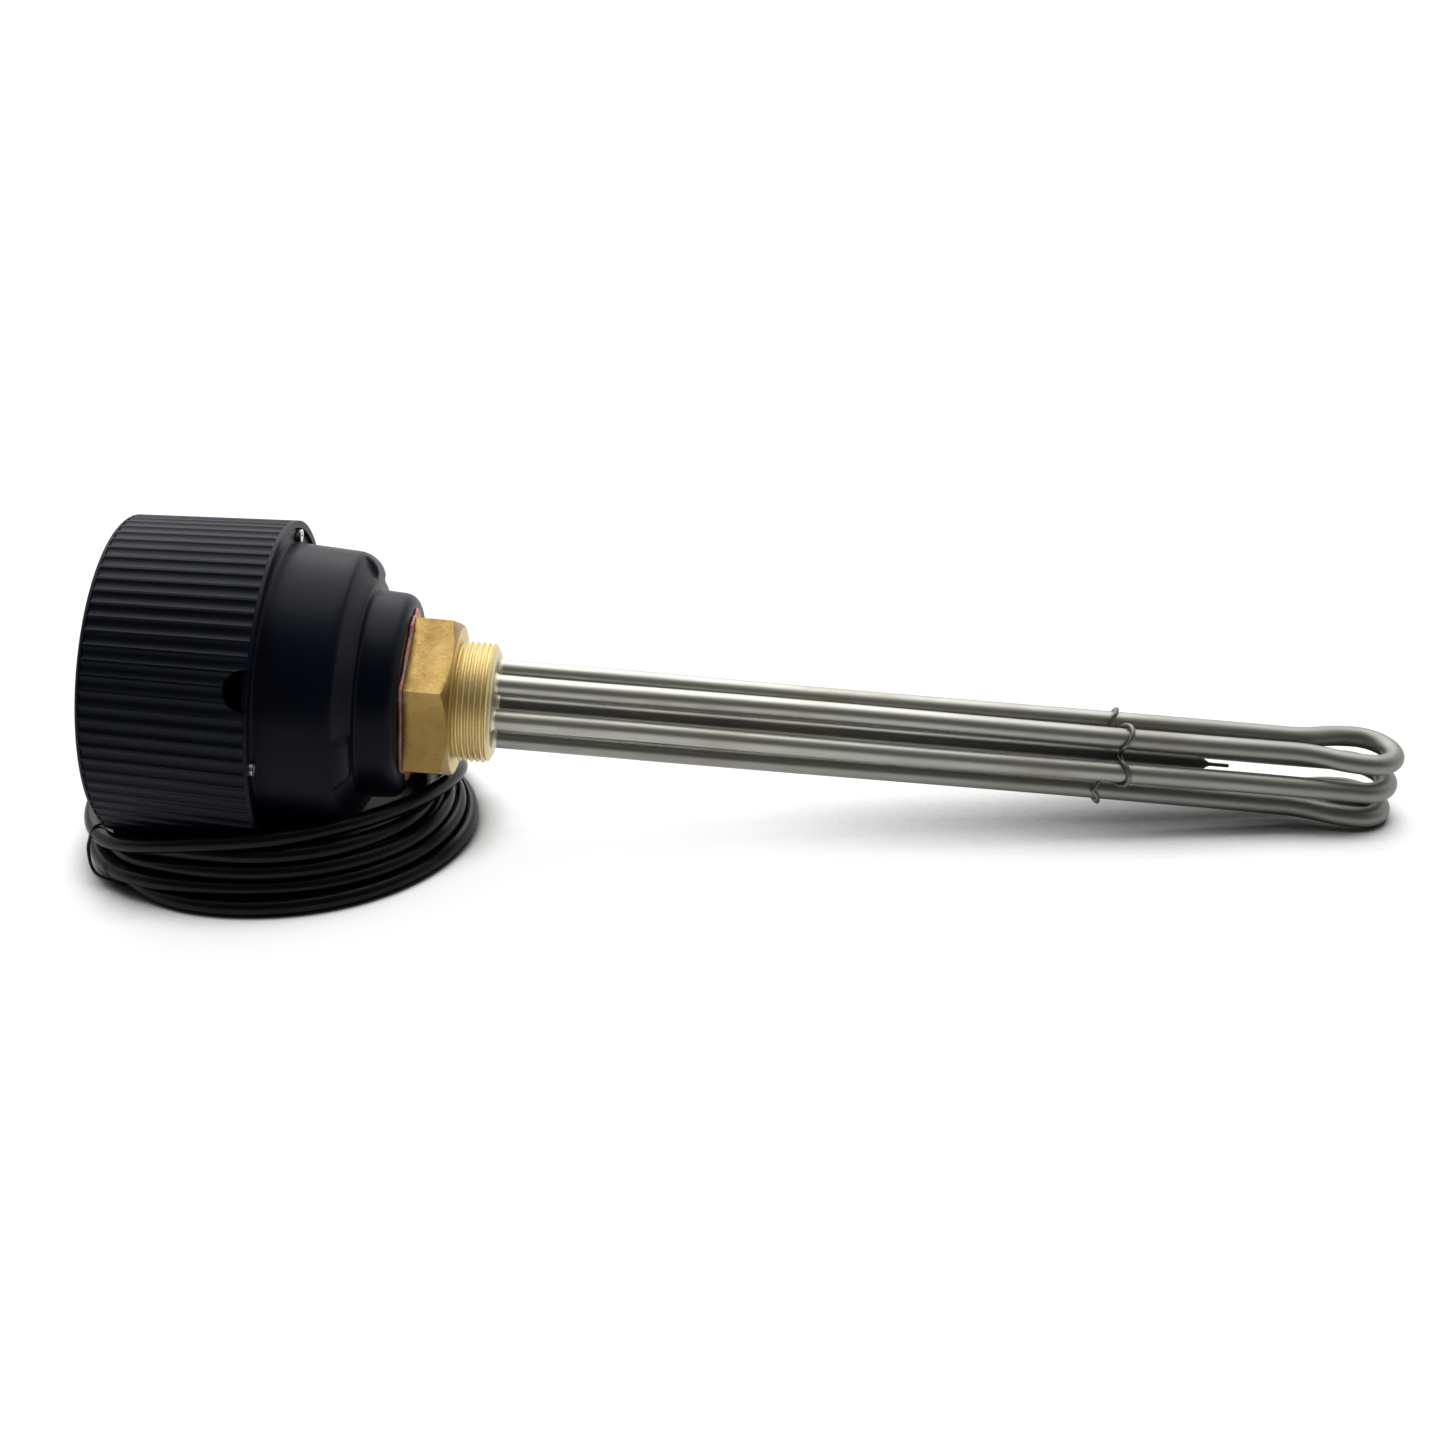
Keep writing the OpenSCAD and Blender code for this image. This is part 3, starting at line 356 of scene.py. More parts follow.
def sweep(line, radius, sides=16, closed=False):
    line = np.asarray(line, float)
    count = len(line)
    if closed:
        heading = np.roll(line, -1, 0) - np.roll(line, 1, 0)
    else:
        heading = np.gradient(line, axis=0)
    heading /= np.linalg.norm(heading, axis=1)[:, None]
    side = np.cross(heading[0], (0.0, 0.0, 1.0) if abs(heading[0][2]) < 0.9 else (0.0, 1.0, 0.0))
    side /= np.linalg.norm(side)
    radii = np.broadcast_to(np.asarray(radius, float), (count,))
    turns = fullTurn(sides)
    sideways = []
    for k in range(count):
        side = side - heading[k] * side.dot(heading[k])
        side /= np.linalg.norm(side)
        sideways.append(side)
    slip = 0.0
    if closed:  # share out the twist left after one turn
        around = sideways[-1] - heading[0] * sideways[-1].dot(heading[0])
        slip = math.atan2(np.cross(around, sideways[0]).dot(heading[0]), around.dot(sideways[0]))
    rings = []
    for k in range(count):
        up = np.cross(heading[k], sideways[k])
        t = turns + slip * k / count
        rings.append(line[k] + radii[k] * (np.cos(t)[:, None] * sideways[k] + np.sin(t)[:, None] * up))
    return ringSkin(rings, closed)


def joinSkins(skins):
    points, faces, start = [], [], 0
    for somePoints, someFaces in skins:
        points.append(np.asarray(somePoints))
        faces += [tuple(k + start for k in face) for face in someFaces]
        start += len(somePoints)
    return np.concatenate(points), faces


def makePiece(name, skin, finish, body="heater", replaces=(), inHead=True, sharp=35):
    points, faces = skin
    mesh = bpy.data.meshes.new(name)
    mesh.from_pydata((np.asarray(points) / 1000).tolist(), [], faces)
    mesh.validate()
    piece = bpy.data.objects.new(name, mesh)
    scene.collection.objects.link(piece)
    if inHead:
        piece.matrix_world = headMatrix
    mesh.polygons.foreach_set("use_smooth", [True] * len(mesh.polygons))
    mesh.set_sharp_from_angle(angle=math.radians(sharp))
    mesh.materials.append(finishes[finish])
    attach(piece, body)
    if replaces:
        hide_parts(*replaces)
    return piece


def smoothLine(points, step):
    points = np.array(points, float)
    out = []
    for k in range(len(points) - 1):
        b, c = points[k], points[k + 1]
        a = points[k - 1] if k else 2 * b - c
        d = points[k + 2] if k + 2 < len(points) else 2 * c - b
        parts = max(1, int(np.linalg.norm(c - b) / step))
        for i in range(parts):
            t = i / parts
            out.append(0.5 * (2 * b + (c - a) * t + (2 * a - 5 * b + 4 * c - d) * t * t
                              + (3 * b - a - 3 * c + d) * t ** 3))
    return np.array(out + [points[-1]])


def evenly(line, step):
    run = np.r_[0, np.cumsum(np.linalg.norm(np.diff(line, axis=0), axis=1))]
    at = np.linspace(0, run[-1], int(round(run[-1] / step)) + 1)
    return np.stack([np.interp(at, run, line[:, k]) for k in range(3)], 1), run[-1]


# Supply cable: out of the bush, round to the floor, seven passes leaning on the head, and a free tail behind
cable = {"diameter": 6.5, "centre": (-189.0, -3.0), "radius": 68.5, "half": 6.5, "turnLine": 58.0, "step": 5.0,
         "gaps": (6.7, 6.7, 6.7, 6.65, 6.6), "rounds": 50,
         "bush": {"along": -85.3, "angle": -156.0, "out": 64.96, "length": 24.0},
         "swing": {"radius": 37.0, "run": 118.0},
         "toCoil": [(-276.5, 66), (-275, 46), (-271, 26)],
         "tail": [(-147, 60.5, 5.6), (-156, 66, 4.2), (-168, 69.4, 3.27), (-183, 70.4, 3.27), (-201, 70.4, 3.27)],
         "stations": [0, 0.06, 0.20, 0.34, 0.43, 0.51, 0.64, 0.80, 0.92, 1.0],
         "crossings": [(0.75, 0.90), (0.71, 0.85), (0.66, 0.80), (0.63, 0.75), (0.59, 0.71), (0.56, 0.68)],
         "leave": [(0.06, 3.6, 21.2), (0.134, 10.0, 26.0), (0.20, 14.5, 29.3), (0.245, 16.3, 30.6), (0.33, 19.4, 31.0),
                   (0.405, 16.2, 27.6), (0.475, 16.0, 23.8), (0.52, 9.6, 21.0), (0.56, 3.2, 16.0), (0.60, -1.8, 10.8),
                   (0.635, -3.5, 7.0)],
         "leaveEase": (0.02, 0.06),
         "settle": {"skip": 40, "push": 1.5, "clear": 0.1, "fairing": 4, "bend": 30, "bendGain": 60, "window": 7,
                    "most": 0.5, "sink": 0.008}}
# strands by order of winding: inset from the outside and height, at places round the loop
leftRow = [(3.3, 3.3), (9.9, 3.3), (9.4, 9.3), (2.8, 9.1), (5.9, 14.9), (9.8, 20.2), (3.6, 21.2)]
frontRow = [(7.0, 3.3), (13.6, 3.3), (18.6, 8.0), (12.0, 9.8), (12.6, 16.6), (13.8, 23.4), (15.0, 29.6)]
cornerRow = [(6.0, 3.3), (12.6, 3.3), (17.4, 8.2), (10.8, 9.6), (11.6, 16.4), (13.6, 23.0), (19.0, 30.0)]
riseRow = [(4.0, 3.3), (10.6, 3.3), (14.6, 8.8), (8.0, 9.4), (9.8, 15.8), (13.2, 21.4), (16.0, 27.0)]
rightRow = [(3.3, 3.3), (9.9, 3.3), (13.2, 9.0), (6.6, 9.0), (9.9, 14.7), (16.4, 14.6), (12.8, 20.2)]
backRow = [(3.3, 3.3), (9.9, 3.3), (13.2, 9.0), (6.6, 9.0), (9.9, 14.7), (13.5, 20.2), (9.5, 25.5)]
strandRows = np.array([leftRow, leftRow, frontRow, cornerRow, riseRow, rightRow, backRow, backRow, leftRow, leftRow])
# the head that the cable leans on: from, to, radius at each
headRings = [(-132.8, -68.8, 62.6, 65.5), (-71.9, -45, 57, 55.7), (-45, -35, 55.7, 46.5), (-35, -20, 41.2, 40.4),
             (-20, 0, 34.7, 33), (1, 13, 23.9, 23.9)]
cableR = cable["diameter"] / 2 + 0.02
arcRun = cable["turnLine"] * math.pi
loopRun = 2 * arcRun + 4 * cable["half"]


def loopPlace(share):
    s = (share % 1.0) * loopRun
    cx, cy = cable["centre"]
    half, mid, out = cable["half"], cable["turnLine"], cable["radius"]
    a1, a2, a3, a4 = arcRun / 2, arcRun / 2 + 2 * half, arcRun * 1.5 + 2 * half, arcRun * 1.5 + 4 * half
    if a1 <= s < a2:
        return np.array([cx - half + s - a1, cy - out]), np.array([0.0, 1.0])
    if a3 <= s < a4:
        return np.array([cx + half - (s - a3), cy + out]), np.array([0.0, -1.0])
    if s < a1:
        turn, x = math.pi + s / mid, cx - half
    elif s < a3:
        turn, x = 1.5 * math.pi + (s - a2) / mid, cx + half
    else:
        turn, x = 0.5 * math.pi + (s - a4) / mid, cx - half
    outward = np.array([math.cos(turn), math.sin(turn)])
    return np.array([x, cy]) + out * outward, -outward


def ease(t):
    return 0.5 - 0.5 * math.cos(math.pi * min(1.0, max(0.0, t)))


def strand(order, share):
    stations = cable["stations"]
    k = max(j for j in range(len(stations) - 1) if stations[j] <= share)
    w = ease((share - stations[k]) / (stations[k + 1] - stations[k]))
    return strandRows[k, order] * (1 - w) + strandRows[k + 1, order] * w


def coilLine():
    leave, passes = np.array(cable["leave"]), len(leftRow)
    points, count = [], int(loopRun / cable["step"])
    for order in range(passes):
        for i in range(count):
            share = i / count
            if order < passes - 1:
                low, high = cable["crossings"][order]
                w = ease((share - low) / (high - low))
                spot = strand(order, share) * (1 - w) + strand(order + 1, share) * w
            elif share > leave[-1, 0]:
                break
            else:  # the last pass rises under the cover, then drops to the tail
                spot = np.array([np.interp(share, leave[:, 0], leave[:, k]) for k in (1, 2)])
                w = ease((share - cable["leaveEase"][0]) / cable["leaveEase"][1])
                spot = strand(order, share) * (1 - w) + spot * w
            edge, inward = loopPlace(share)
            points.append((*(edge + inward * spot[0]), spot[1]))
    return np.array(points)


def inBush(s):
    bush = cable["bush"]
    a = math.radians(bush["angle"])
    return axisPoint(bush["along"], s * math.sin(a), -s * math.cos(a))


def leadLine():
    out, tip = cable["bush"]["out"], cable["bush"]["out"] + cable["bush"]["length"]
    points = [inBush(out - 18), inBush(out), inBush(tip - 6), inBush(tip + 2)]
    end, r = points[-1], cable["swing"]["radius"]
    for degrees in range(25, 176, 25):
        a = math.radians(degrees)
        sink = cableR + (end[2] - cableR) * max(0.0, 1 - r * a / cable["swing"]["run"]) ** 2
        points.append(np.array([end[0] - r + r * math.cos(a), end[1] + r * math.sin(a), sink]))
    return points + [np.array([x, y, cableR]) for x, y in cable["toCoil"]]


def bendOf(line):
    a, b, c = line[:-2], line[1:-1], line[2:]
    area = np.linalg.norm(np.cross(b - a, c - a), axis=1) / 2
    sides = np.linalg.norm(b - a, axis=1) * np.linalg.norm(c - b, axis=1) * np.linalg.norm(a - c, axis=1)
    return 4 * area / np.maximum(sides, 1e-9)


def pushOffHead(line):
    x, z, y = line[:, 0] - lie["axisX"], line[:, 2] - lie["axisH"], line[:, 1]
    along, up = x * ct - z * st, x * st + z * ct
    r = np.maximum(np.hypot(up, y), 1e-6)
    move, deepest, clear = np.zeros_like(line), np.zeros(len(line)), cable["settle"]["clear"]
    for start, end, r0, r1 in headRings:
        near = np.clip(along, start, end)
        skin = r0 + (r1 - r0) * (near - start) / (end - start)
        da, dr = along - near, r - skin
        inside = (da == 0) & (dr < 0)
        away = np.where(da == 0, np.maximum(dr, 0), np.hypot(da, np.maximum(dr, 0)))
        need = cableR + clear - np.where(inside, dr, away)
        ea = np.where(inside, 0.0, da / np.maximum(away, 1e-6))
        er = np.where(inside, 1.0, np.maximum(dr, 0) / np.maximum(away, 1e-6))
        viaEnd = inside & (start < -100) & (along - start < -dr)  # out through the closed end
        ea, er = np.where(viaEnd, -1.0, ea), np.where(viaEnd, 0.0, er)
        need = np.where(viaEnd, along - start + cableR + clear, need)
        hit = (need > 0) & (need > deepest)
        deepest = np.where(hit, need, deepest)
        shove = np.stack([ct * ea + st * er * up / r, er * y / r, -st * ea + ct * er * up / r], 1) * need[:, None]
        move[hit] = shove[hit]
    return move


def soften(move, times):
    for _ in range(times):
        move[1:-1] = 0.25 * move[:-2] + 0.5 * move[1:-1] + 0.25 * move[2:]
    return move


def settle(line, gap, pinned):  # strands push apart, leave the head, and keep an easy bend
    how, count = cable["settle"], len(line)
    one, two = np.triu_indices(count, int(how["skip"] / cable["step"]))
    for _ in range(cable["rounds"]):
        apart = line[one] - line[two]
        far = np.linalg.norm(apart, axis=1)
        close = np.where(far < gap)[0]
        move, hits = np.zeros_like(line), np.zeros(count)
        shove = apart[close] / np.maximum(far[close], 1e-6)[:, None] * ((gap - far[close]) * 0.5)[:, None]
        for who, sign in ((one[close], 1), (two[close], -1)):
            np.add.at(move, who, sign * shove)
            np.add.at(hits, who, 1)
        line[pinned:] += how["push"] * soften(move / np.maximum(hits, 1)[:, None], 3)[pinned:]
        off = pushOffHead(line)
        off[:pinned] = 0
        line[pinned:] += soften(off, 2)[pinned:]
        for _ in range(how["fairing"]):
            fair = np.zeros_like(line)
            fair[2:-2] = (-line[:-4] + 4 * line[1:-3] + 10 * line[2:-2] + 4 * line[3:-1] - line[4:]) / 16 - line[2:-2]
            line[pinned:-2] += fair[pinned:-2]
        tight = np.zeros(count)
        tight[1:-1] = np.clip((bendOf(line) - 1 / how["bend"]) * how["bendGain"], 0, 1)
        tight[:pinned] = 0
        spread = np.convolve(tight, np.ones(how["window"]) / how["window"], "same")
        share = np.clip(spread, 0, how["most"])[:, None]
        middle = line.copy()
        middle[1:-1] = (line[:-2] + line[2:]) / 2
        line += share * (middle - line)
        line[pinned:-2, 2] -= how["sink"]
        line[:, 2] = np.maximum(line[:, 2], cableR)
    return line


lead, coil = leadLine(), coilLine()
cableLine = np.vstack([smoothLine(lead + [coil[4]], 4)[:-1], coil[4:],
                       smoothLine([coil[-1]] + [np.array(p, float) for p in cable["tail"]], 4)[1:]])
cableLine, cableRun = evenly(cableLine, cable["step"])
pinned = int(np.argmin(np.linalg.norm(cableLine - lead[-4], axis=1)))
for gap in cable["gaps"]:
    cableLine, cableRun = evenly(settle(cableLine, gap, pinned), cable["step"])
cablePath, cableRun = evenly(smoothLine(cableLine, 1.0), 2.0)
rim = np.full(len(cablePath), cable["diameter"] / 2)
rim[0] = rim[-1] = cable["diameter"] / 2 - 0.5  # trimmed ends
supplyCable = makePiece("supplyCable", sweep(cablePath, rim, 18), "cableBlack", inHead=False,
                        replaces=("cord_lead", "cord_coil", "cord_tail"))
print("cable laid, %.0f mm, tightest bend %.1f mm" % (cableRun, 1 / bendOf(cableLine).max()))

# Three cores out of the stripped end, each with a crimped sleeve
core = {"radius": 0.95, "ends": [(-229, 65, 2), (-231, 71, 2), (-228, 78, 2)], "spread": 1.8,
        "finish": ("wireBlue", "wireGreen", "wireBrown"), "sleeveLow": 1.6,
        "sleeve": [(-2.6, 1.5), (-2.4, 1.55), (-1.0, 1.5), (-0.6, 1.2), (0.4, 1.05), (2.0, 0.95), (3.6, 0.85),
                   (5.0, 0.85), (5.3, 0.7)]}
root = cablePath[-1]
for k, end in enumerate(core["ends"]):
    aside = core["spread"] * (k - 1)
    first = root + np.array([1.5, aside * 0.6, 1.0 if k == 1 else -0.8])
    second = root + np.array([-8, aside * 1.4, 1.0 if k == 1 else -1.4])
    line = evenly(smoothLine([first, second, np.array(end, float)], 1.0), 1.0)[0]
    line[:, 2] = np.maximum(line[:, 2], core["radius"])
    makePiece("core%d" % (k + 1), sweep(line, core["radius"], 12), core["finish"][k],
                                inHead=False, replaces=("cord_cores",))
    ahead = (line[-1] - line[-4]) / np.linalg.norm(line[-1] - line[-4])
    sleeveLine = np.array([line[-1] + ahead * s for s, r in core["sleeve"]])
    sleeveLine[:, 2] = np.maximum(sleeveLine[:, 2], core["sleeveLow"])
    makePiece("coreSleeve%d" % (k + 1), sweep(sleeveLine, [r for s, r in core["sleeve"]], 16),
                                "nickel", inHead=False)

# Wire tie: a loose loop round all the strands, leaning to the left in front
tie = {"angle": 216.0, "wire": 0.65, "foot": 4.0, "head": -8.0, "slack": 2.8}
tieAngle = math.radians(tie["angle"])
outward = np.array([math.cos(tieAngle), math.sin(tieAngle)])
aside = np.array([-outward[1], outward[0]])
hub = np.array([cable["centre"][0] - cable["half"], cable["centre"][1]])
flatPath = (cablePath[:, :2] - hub)
inPlane, offPlane = flatPath @ outward, flatPath @ aside
crossings = [k for k in range(len(offPlane) - 1) if offPlane[k] * offPlane[k + 1] <= 0 and inPlane[k] > 30]
ringSpots = []
for k in crossings:
    for t in fullTurn(24):
        grow = cable["diameter"] / 2 + tie["wire"] * 0.7
        ringSpots.append((inPlane[k] + grow * math.cos(t), max(cablePath[k, 2] + grow * math.sin(t), tie["wire"])))
ringSpots = sorted(set((round(a, 4), round(b, 4)) for a, b in ringSpots))


def hullSide(spots):
    side = []
    for p in spots:
        while len(side) > 1:
            (x0, z0), (x1, z1) = side[-2:]
            if (x1 - x0) * (p[1] - z0) - (z1 - z0) * (p[0] - x0) > 0:
                break
            side.pop()
        side.append(p)
    return side[:-1]


tieLoop = np.array(hullSide(ringSpots) + hullSide(ringSpots[::-1]))
tieLoop = evenly(np.c_[np.vstack([tieLoop, tieLoop[:1]]), np.zeros(len(tieLoop) + 1)], 1.2)[0][:-1, :2]
for _ in range(3):
    tieLoop = 0.25 * np.roll(tieLoop, 1, 0) + 0.5 * tieLoop + 0.25 * np.roll(tieLoop, -1, 0)
middle = (tieLoop.min(0) + tieLoop.max(0)) / 2
front = np.clip((tieLoop[:, 0] - middle[0]) / (tieLoop[:, 0].max() - middle[0]), 0, 1)
rise = np.clip(tieLoop[:, 1] / tieLoop[:, 1].max(), 0, 1)
tieLoop[:, 0] += tie["slack"] * front * np.sin(np.clip(rise * 1.15, 0, 1) * math.pi)
sideStep = tie["foot"] + (tie["head"] - tie["foot"]) * np.minimum(rise * 1.5, 1.0)
tieSpots = np.stack([hub[0] + outward[0] * tieLoop[:, 0] + aside[0] * sideStep,
                     hub[1] + outward[1] * tieLoop[:, 0] + aside[1] * sideStep,
                     np.maximum(tieLoop[:, 1], tie["wire"])], 1)
wireTie = makePiece("wireTie", sweep(tieSpots, tie["wire"], 10, closed=True), "tieBlack", inHead=False,
                    replaces=("cord_tie",))

# Strain relief: a tapered ribbed bush, square to the cover where the cable comes out
relief = {"root": 7.9, "tip": 4.5, "taper": 0.85, "ribs": 6, "ribsFrom": 3.4, "groove": 1.0, "hole": 3.3,
          "collar": [(-10, 7.4), (-1.5, 7.4), (-0.6, 7.8), (0.1, 9.6), (1.4, 9.9), (2.4, 9.5)]}
bushRun, bushAt = cable["bush"]["length"], cable["bush"]["out"]


def taperR(s):
    return relief["root"] + (relief["tip"] - relief["root"]) * (s / bushRun) ** relief["taper"]


bushRows = relief["collar"] + [(2.8, relief["root"])]
for k in range(relief["ribs"]):
    s0 = relief["ribsFrom"] + k * (bushRun - 5) / relief["ribs"]
    s1 = s0 + (bushRun - 5) / relief["ribs"]
    mid = s0 + (s1 - s0) * 0.5
    bushRows += [(s0, taperR(s0)), (s0 + 0.3, taperR(s0) + 0.15), (mid, taperR(mid) + 0.15),
                 (s0 + (s1 - s0) * 0.62, taperR(s0) - relief["groove"]),
                 (s1 - 0.5, taperR(s1) - relief["groove"] * 0.8)]
bushRows += [(bushRun - 1.2, relief["tip"] + 0.1), (bushRun - 0.4, relief["tip"]), (bushRun, relief["tip"] - 0.6),
             (bushRun, relief["hole"])]
bushOut = inBush(bushAt + 1) - inBush(bushAt)
bushSide = np.cross(bushOut, (1.0, 0, 0))
bushSide /= np.linalg.norm(bushSide)
bushUp = np.cross(bushOut, bushSide)
around = fullTurn(48)[:, None]
bushRings = [inBush(bushAt + s) + r * (np.cos(around) * bushSide + np.sin(around) * bushUp) for s, r in bushRows]
bush = makePiece("strainRelief", ringSkin(bushRings), "bushRubber", inHead=False, replaces=("cable_bush",),
                 sharp=40)

(inBush(cable["bush"]["out"]) / 1000).tolist()
cable["diameter"] / 1000
print("cores, tie and strain relief made")

# Terminal base: barrel, chamfered shoulder that swells into three round lugs, and collar
base = {"flange": (-72.0, -70.0, 62.42), "barrel": (57.0, 55.7), "shoulder": (-45.0, 10.0),
        "collar": (41.2, 40.45, -20.0), "edge": 5.0, "lugs": (-5.3, 114.7, 234.7), "lugHalf": 10.5, "lugBlend": 1.6,
        "chamfer": [(-47.0, 55.8), (-44.6, 55.67), (-42.8, 55.4), (-41.3, 54.85), (-40.3, 53.9), (-38.4, 50.5),
                    (-36.6, 47.2), (-35.8, 46.0), (-35.1, 44.9)],
        "inside": [(-20, 30), (-20, 21), (-23, 21), (-23, 34), (-33, 37.5), (-40, 43), (-48, 52.5), (-71, 53.5)]}
baseTurn = fullTurn(360)
lugShare = np.zeros(len(baseTurn))
for centre in base["lugs"]:
    off = np.abs((np.degrees(baseTurn) - centre + 180) % 360 - 180)
    swollen = [ease((base["lugHalf"] + base["lugBlend"] - k) / (2 * base["lugBlend"])) for k in off]
    lugShare = np.maximum(lugShare, swollen)
back, front, flangeR = base["flange"]
barrelR, barrelEndR = base["barrel"]
startX, deep = base["shoulder"]
rootR, noseR, noseX = base["collar"]
rootX, innerR, edge = startX + deep, barrelEndR - deep, base["edge"]
baseRows = [(back, 54.0), (back, flangeR - 0.2), (back + 0.2, flangeR), (front - 0.25, flangeR),
            (front, flangeR - 0.25), (front, 58.4), (front + 0.25, 57.6), (front + 0.9, 57.1)]
baseRows += [(x, barrelR + (barrelEndR - barrelR) * (x - front) / (startX - front))
             for x in np.linspace(front + 1.5, startX - 2.2, 12)]
chamfer = evenly(smoothLine([(x, r, 0) for x, r in base["chamfer"]], 0.2), 0.5)[0]
for k, share in enumerate(np.linspace(0, 1, len(chamfer))):
    a = share * math.pi / 2
    bulge = (startX + deep * math.sin(a), innerR + deep * math.cos(a))
    swell = lugShare * min(1.0, 8 * share, 8 * (1 - share) + 0.02)
    baseRows.append([chamfer[k, i] + swell * (bulge[i] - chamfer[k, i]) for i in (0, 1)])
baseRows += [(rootX + 0.02, rootR + 1.2), (rootX + 0.3, rootR + 0.35), (rootX + 1.0, rootR)]
baseRows += [(x, rootR + (noseR - rootR) * (x - rootX) / (noseX - rootX)) for x in (-31, -28, -25.4)]
baseRows += [(noseX - edge + edge * math.sin(a), noseR + 0.15 - edge + edge * math.cos(a))
             for a in np.linspace(0.1, math.pi / 2, 10)]
makePiece("terminalBase", ringSkin(ringsAbout(baseTurn, baseRows + base["inside"]), closed=True), "baseBlack",
          replaces=("terminal_base",), sharp=50)

# Screw plug: hexagon with a turned front chamfer, relief, pipe thread and brazed end face
plug = {"flats": 60.0, "back": -18.5, "cutFrom": (34.64, -4.0), "cutTo": (28.84, -1.0), "relief": (22.3, -0.25),
        "crest": 23.9, "pitch": 2.309, "depth": 1.2, "threadEnd": 12.6, "face": (13.8, 20.9), "boss": (20.0, -34.05),
        "legs": 13.56, "tube": 4.1, "fillet": 1.5, "runOut": 11.6}
turn = fullTurn(288)
fromFlat = (np.degrees(turn) + 30) % 60 - 30
hexR = plug["flats"] / 2 / np.cos(np.radians(fromFlat))
bossR, bossX = plug["boss"]
reliefR, reliefX = plug["relief"]
faceX, faceR = plug["face"]
cutR, shoulderX = plug["cutTo"]
backX = plug["back"]
cutAt = shoulderX + (hexR - cutR) * ((shoulderX - plug["cutFrom"][1]) / (cutR - plug["cutFrom"][0]))
frontR = np.minimum(hexR, cutR)
plugRows = [(bossX, 18.9), (bossX + 1.1, bossR), (backX - 0.02, bossR), (backX, 24), (backX, hexR - 0.5),
            (backX + 0.12, hexR - 0.14), (backX + 0.45, hexR)]
plugRows += [(backX + 0.45 + (cutAt - 0.35 - backX - 0.45) * share, hexR) for share in (0.2, 0.45, 0.7, 0.9)]
plugRows += [(cutAt - 0.35, hexR), (cutAt - 0.1, hexR - 0.05),
             (cutAt + (shoulderX - cutAt) * 0.12, hexR + (frontR - hexR) * 0.12 - 0.06),
             (shoulderX + (cutAt - shoulderX) * 0.12 - 0.03, frontR + (hexR - frontR) * 0.12 - 0.03),
             (shoulderX, frontR - 0.35), (shoulderX, 26.0), (shoulderX, reliefR + 1.0),
             (shoulderX + 0.25, reliefR + 0.3), (reliefX, reliefR)]
for along in np.linspace(reliefX + 0.02, plug["threadEnd"], 96):
    phase = ((along - reliefX) / plug["pitch"] + turn / (2 * math.pi)) % 1.0
    v = np.clip((np.abs(2 * phase - 1) - 0.1) / 0.78, 0, 1)
    threadR = plug["crest"] - plug["depth"] * (v - 0.06 * np.sin(2 * math.pi * v))
    start = reliefR + (along - reliefX) * 1.6
    end = plug["crest"] - max(0.0, along - plug["runOut"]) * 0.9
    plugRows.append((along, np.minimum(np.minimum(threadR, start), end)))
plugRows += [(plug["threadEnd"] + 0.1, 22.5), (faceX - 0.3, faceR + 0.1), (faceX - 0.05, faceR - 0.15),
             (faceX, faceR - 0.5), (faceX + 0.05, 19.5), (faceX, 19.0)]
plugSkins = [ringSkin(ringsAbout(turn, plugRows))]
fillet = plug["fillet"]
filletRows = [(-0.3, fillet + 0.4)]
filletRows += [(fillet * (1 - math.cos(a)), 0.04 + fillet * (1 - math.sin(a))) for a in np.linspace(0, math.pi / 2, 7)]
filletRows.append((fillet + 0.3, -0.2))
for k in range(7):  # a braze fillet round each leg and the well
    a = math.radians(60 * k)
    y, z = (0.0, 0.0) if k == 6 else (-plug["legs"] * math.cos(a), plug["legs"] * math.sin(a))
    rings = ringsAbout(fullTurn(40), [(faceX + x, plug["tube"] + grow) for x, grow in filletRows])
    plugSkins.append(ringSkin([ring + np.array([0, y, z]) for ring in rings], capped=False))
makePiece("screwPlug", joinSkins(plugSkins), "brass", replaces=("screw_plug",), sharp=24)

# Gasket: a silicone ring squeezed out in soft waves round the hexagon, with a fold at the top
gasket = {"middle": -19.2, "half": 0.68, "proud": 0.7, "inner": 27.0, "foldTop": 3.6, "foldLow": 3.0, "lip": 0.9,
          "waves": [(0.28, 7, 20), (0.2, 13, 70), (0.14, 22, 0)], "most": (35.1, 37.6)}
degrees = np.degrees(turn)
wave = sum(size * np.sin(np.radians(degrees * count + start)) for size, count, start in gasket["waves"])


def fold(centre, width):
    return np.exp(-(((degrees - centre + 180) % 360 - 180) / width) ** 2)


gasketR = np.minimum(hexR + gasket["proud"] + wave, gasket["most"][0])
gasketR = np.minimum(gasketR + gasket["foldTop"] * (fold(104, 7) + 0.6 * fold(80, 4))
                     + gasket["foldLow"] * (fold(-62, 6) + 0.7 * fold(-98, 5)), gasket["most"][1])
sway = 0.34 * np.sin(np.radians(degrees * 9 + 40)) - 0.3
gasketRows = []
for t in fullTurn(20):
    thick = gasket["half"] * np.sin(t) * (1 - 0.1 * np.abs(wave))
    edge = np.where(np.cos(t) > 0, gasketR - gasket["lip"] + gasket["lip"] * np.cos(t), gasket["inner"])
    gasketRows.append((gasket["middle"] + thick + sway * max(0.0, math.cos(t)) * 0.5, edge))
makePiece("gasketRing", ringSkin(ringsAbout(turn, gasketRows), closed=True), "gasketPink",
          replaces=("plug_gasket",), sharp=60)
print("plug and gasket made")

